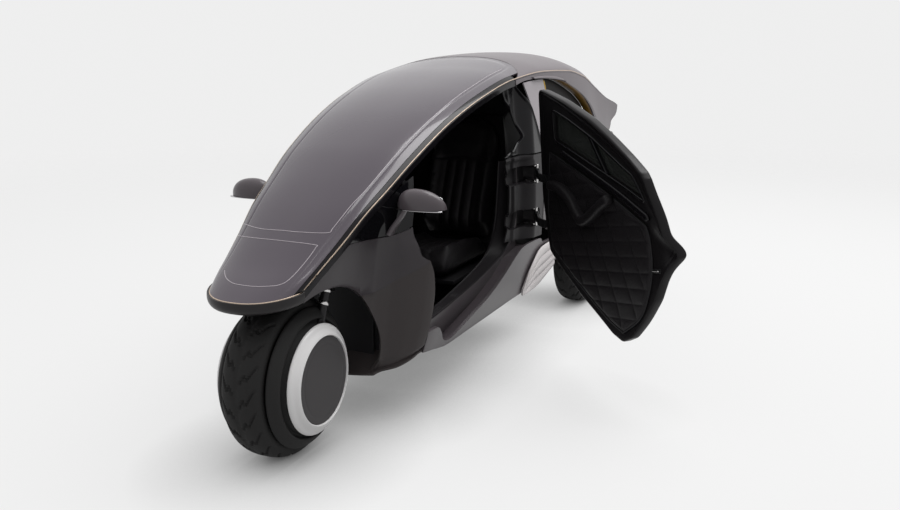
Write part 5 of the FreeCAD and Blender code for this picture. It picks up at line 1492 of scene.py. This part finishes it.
# Linings: moulded black walls that close the body behind the posts, and a housing round each rear
# wheel that turns in from the opening and closes the wheel's inner side.
lining_sunk, lining_wall = 0.100, 0.004
side_lining = patch(((-1.545, 0.480), (-1.800, 0.400), (-2.190, 0.380)),
                    ((-1.545, 1.180), (-1.650, 1.200), (-1.760, 1.080), (-1.900, 0.985),
                     (-2.190, 0.985)),
                    ((-1.545, 0.480), (-1.545, 1.180)), ((-2.190, 0.380), (-2.190, 0.985)), 40, 40)
points, quads = both(*side_slab(on_side(side_lining, lining_sunk), lining_wall))
facing_out(piece("side_linings", points, quads, chassis_black, "body"))
housing_radius = 0.351
housing_wall = 0.338
turn = np.radians(np.linspace(9, 171, 90))[:, None]
outer_end = on_side(np.concatenate([rear_centre[0] + housing_radius * np.cos(turn),
                                    wheel_height + housing_radius * np.sin(turn)], 1), 0.004)
step_in = np.concatenate([np.linspace(0, 1, 8), np.ones(11)])[None]
radius = np.concatenate([np.full(8, housing_radius),
                         np.linspace(housing_radius - 0.01, 0.06, 11)])[None]
housing = np.stack([rear_centre[0] + radius * np.cos(turn),
                    outer_end[:, 1:2] * (1 - step_in) + housing_wall * step_in,
                    wheel_height + radius * np.sin(turn)], -1)
points, quads = both(*slab(housing, 0.003, flip=normals_of(housing)[45, 3, 2] < 0))
facing_out(piece("wheel_housings", points, quads, chassis_black, "body"))

# Fairings: pale satin scoops moulded with four ribs that run along them and a square front end,
# and laid on the skirts ahead of the rear wheels.
pale_fairing = finish("pale satin fairing", (0.66, 0.62, 0.62), (0.72, 0.68, 0.68),
                      (0.34, 0.42), relief=0.0002, scale=900.0, Coat_Weight=0.3,
                      Coat_Roughness=0.2)
rib_count = 4
rib_rise = 0.0075
scoop_front, scoop_run, scoop_proud, scoop_wall = -1.590, 0.05, 0.013, 0.009
scoop = patch(((-1.590, 0.258), (-1.700, 0.256), (-1.850, 0.268), (-2.020, 0.322)),
              ((-1.590, 0.304), (-1.625, 0.392), (-1.737, 0.472), (-1.860, 0.490),
               (-2.020, 0.486)),
              ((-1.590, 0.258), (-1.590, 0.304)), ((-2.020, 0.322), (-2.020, 0.486)), 72, 90)
span = np.linspace(0, 1, 72)[:, None]
ribs = np.abs(np.sin(np.pi * (rib_count * span))) ** 0.6
run_in = np.clip((scoop_front - scoop[..., 0]) / scoop_run, 0.15, 1)
scoop_side = on_side(scoop, -(scoop_proud + rib_rise * ribs * run_in))
points, quads = both(*side_slab(scoop_side, scoop_wall))
rounded(facing_out(piece("ribbed_scoops", points, quads, pale_fairing, "body",
                         ["ribbed_fairings"])), 0.0015)

# Seat: cushion and back as foam under black leather. Each is a closed form with superellipse
# sections, swelled as cloth under pressure with its travel capped, and then sewn: channels are
# drawn in between raised bolsters, after the swelling, so that no seam is lost.
seat_half_width = 0.196
seat_voxel = 0.0072
seat_pressure = 4.0
seat_travel = 0.011
channel_width, channel_reach, channel_fade = 0.0045, 0.118, 0.012
swelling_steps = 20
cushion_bolster, cushion_bolster_place, cushion_bolster_width = 0.034, 0.158, 0.036
back_bolster, back_bolster_place, back_bolster_width = 0.042, 0.160, 0.034
channel_pitch = 0.056
channel_depth = 0.0065


def lofted(spine, half_thick, half_wide, lean, power=3.2, around=72):
    """Closed form along a spine in the centre plane: sections are superellipses across the car,
    and lean is the direction of their thickness."""
    turn = np.linspace(0, 2 * np.pi, around, endpoint=False)
    c = np.sign(np.cos(turn)) * np.abs(np.cos(turn)) ** (2 / power)
    d = np.sign(np.sin(turn)) * np.abs(np.sin(turn)) ** (2 / power)
    rows = len(spine)
    points = np.zeros((rows, around, 3))
    points[..., 0] = spine[:, :1] + lean[:, :1] * half_thick[:, None] * d[None]
    points[..., 1] = half_wide[:, None] * c[None]
    points[..., 2] = spine[:, 1:] + lean[:, 1:] * half_thick[:, None] * d[None]
    quads = np.concatenate([grid_faces(rows, around, around=True), end_quads(0, around),
                            end_quads((rows - 1) * around, around)[:, ::-1]])
    return points.reshape(-1, 3), quads


def swelled(made):
    """Remeshes a soft piece evenly, swells it as cloth under pressure, and caps how far each
    point has moved. Leaves no simulation on the piece."""
    voxels = made.modifiers.new("voxels", "REMESH")
    voxels.mode = "VOXEL"
    voxels.voxel_size = seat_voxel
    view = bpy.context.evaluated_depsgraph_get()
    even = bpy.data.meshes.new_from_object(made.evaluated_get(view))
    made.modifiers.clear()
    made.data = even
    count = len(even.vertices)
    start = np.empty(count * 3)
    even.vertices.foreach_get("co", start)
    cloth = made.modifiers.new("swelling", "CLOTH")
    cloth.settings.use_pressure = True
    cloth.settings.uniform_pressure_force = seat_pressure
    cloth.settings.effector_weights.gravity = 0.0
    for step in range(1, swelling_steps + 1):
        bpy.context.scene.frame_set(step)
    view = bpy.context.evaluated_depsgraph_get()
    moved = made.evaluated_get(view).to_mesh()
    end = np.empty(count * 3)
    moved.vertices.foreach_get("co", end)
    made.evaluated_get(view).to_mesh_clear()
    made.modifiers.clear()
    start, end = start.reshape(-1, 3), end.reshape(-1, 3)
    travel = end - start
    length = np.linalg.norm(travel, axis=1, keepdims=True)
    travel *= np.minimum(1, seat_travel / np.maximum(length, 1e-9))
    even.vertices.foreach_set("co", (start + travel).ravel())
    even.update()
    bpy.context.scene.frame_set(1)
    return made


def sewn(made, rise, away):
    """Moves each point of a soft piece by a height field on the side that faces away, then
    smooths it once as a subdivision."""
    count = len(made.data.vertices)
    places = np.empty(count * 3)
    normals = np.empty(count * 3)
    made.data.vertices.foreach_get("co", places)
    made.data.vertices.foreach_get("normal", normals)
    places, normals = places.reshape(-1, 3), normals.reshape(-1, 3)
    facing = np.clip((normals @ away - 0.15) / 0.45, 0, 1)[:, None]
    places = places + away * rise(places - datum)[:, None] * facing
    made.data.vertices.foreach_set("co", places.ravel())
    made.data.update()
    made.data.shade_smooth()
    finer = made.modifiers.new("finer", "SUBSURF")
    finer.levels = finer.render_levels = 1
    return made


def channels(across):
    """Sewn lines drawn in at an even pitch, as a depth at distances from the centre plane."""
    near = (across / channel_pitch + 0.5) % 1.0 - 0.5
    pads = 0.35 * np.cos(near * 2 * np.pi)
    return channel_depth * (pads - np.exp(-((np.abs(near) * channel_pitch - channel_pitch / 2)
                                            / channel_width) ** 2))


def cushion_rise(place):
    """Height added over the cushion: two side bolsters, and channels between them."""
    across = np.abs(place[:, 1])
    bolster_place = (across - cushion_bolster_place) / cushion_bolster_width
    bolster = cushion_bolster * np.exp(-bolster_place**2)
    ends = np.clip((place[:, 0] + 1.690) / 0.08, 0, 1) * np.clip((-1.125 - place[:, 0]) / 0.07,
                                                                0, 1)
    middle = np.clip((channel_reach - across) / channel_fade, 0, 1)
    return (bolster + channels(place[:, 1]) * middle) * ends


def back_rise(place):
    """Height added over the back: side bolsters that fade into the head, channels between them,
    and a seam under the head."""
    across = np.abs(place[:, 1])
    height = place[:, 2]
    bolster_place = (across - back_bolster_place) / back_bolster_width
    bolster = back_bolster * np.exp(-bolster_place**2) * np.clip((1.08 - height) / 0.16, 0, 1)
    low = np.clip((height - 0.56) / 0.05, 0, 1)
    middle = (np.clip((channel_reach - across) / channel_fade, 0, 1)
              * np.clip((0.930 - height) / 0.02, 0, 1))
    seam = 0.006 * np.exp(-((height - 0.945 + 0.9 * across**2) / 0.006) ** 2)
    head = 0.014 * np.clip((height - 0.95) / 0.06, 0, 1) * np.clip((0.17 - across) / 0.08, 0, 1)
    return (bolster + channels(place[:, 1]) * middle) * low - seam + head


rows = 60
run = np.linspace(0, 1, rows)
round_end = np.maximum(1 - np.abs(run * 2 - 1) ** 6, 0.0) ** (1 / 4)
round_end = np.maximum(round_end, 0.08)
spine_x = np.linspace(-1.106, -1.700, rows)
cushion_top = np.interp(-spine_x, [1.106, 1.178, 1.437, 1.659, 1.700], [0.535, 0.556, 0.538,
                                                                        0.504, 0.490])
cushion_base = 0.432
spine = np.stack([spine_x, (cushion_top + cushion_base) / 2], 1)
points, quads = lofted(spine, (cushion_top - cushion_base) / 2 * round_end,
                       seat_half_width * (0.93 + 0.07 * round_end) * round_end**0.25,
                       np.array([(0.0, 1.0)] * rows))
cushion = swelled(piece("cushion_pad", points, quads, black_leather, "body",
                        ["seat_cushion"]))
sewn(cushion, cushion_rise, np.array([0.0, 0.0, 1.0]))
spine = along_line(((-1.716, 0.512), (-1.712, 0.600), (-1.768, 0.770), (-1.822, 0.930),
                    (-1.866, 1.080), (-1.888, 1.158)), rows)
thick = np.interp(spine[:, 1], [0.51, 0.60, 0.92, 1.08, 1.16], [0.050, 0.070, 0.048, 0.040,
                                                               0.030]) * round_end
wide = seat_half_width * np.maximum(1 - np.clip((run - 0.60) / 0.41, 0, 1) ** 2.6,
                                    0.0) ** (1 / 2.6) * np.maximum(round_end, 0.3) ** 0.3
points, quads = lofted(spine, thick, np.maximum(wide, 0.03), np.array([(0.958, 0.286)] * rows))
back = swelled(piece("back_pad", points, quads, black_leather, "body",
                     ["seat_back"]))
sewn(back, back_rise, np.array([0.958, 0.0, 0.286]))

# Frame and drive: the fork, axles, rims, blocks, walls and trays that show as built, in metal and
# moulded plastic. Each gets its finish, and all but two a small rounding on their edges.
fork_dark = finish("dark fork metal", (0.020, 0.019, 0.020), (0.030, 0.029, 0.030),
                   (0.26, 0.36), relief=0.0002, scale=400.0, Metallic=0.5)
lamp_red = finish("red lamp lens", (0.24, 0.006, 0.006), (0.32, 0.010, 0.010), (0.08, 0.14),
                  Coat_Weight=1.0, Coat_Roughness=0.04)
weld_reach = 0.00005
kept_pieces = (
    ("fork", fork_dark, 0.002), ("front_axle", fork_dark, 0.0),
    ("steering_head", chassis_black, 0.002), ("front_rim", rim_black, 0.0015),
    ("rear_rim_left", rim_black, 0.0015), ("rear_rim_right", rim_black, 0.0015),
    ("front_bulkhead", black_trim, 0.002), ("rear_bulkhead", black_trim, 0.0),
    ("firewall", black_trim, 0.001), ("floor_pan", black_trim, 0.002),
    ("seat_frame", black_trim, 0.002), ("dashboard", black_trim, 0.005),
    ("steering_yoke", black_trim, 0.003), ("rear_axle", chassis_black, 0.002),
    ("motor_block", chassis_black, 0.004), ("battery_block", chassis_black, 0.004),
    ("rear_deck", black_trim, 0.002), ("rear_fascia", body_dark, 0.002),
    ("tail_lamp", lamp_red, 0.003),
)
for name, paint, width in kept_pieces:
    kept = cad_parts[name]
    kept.data.materials.clear()
    kept.data.materials.append(paint)
    if width:
        weld = kept.modifiers.new("weld", "WELD")
        weld.merge_threshold = weld_reach
        rounded(kept, width, angle=28.0)
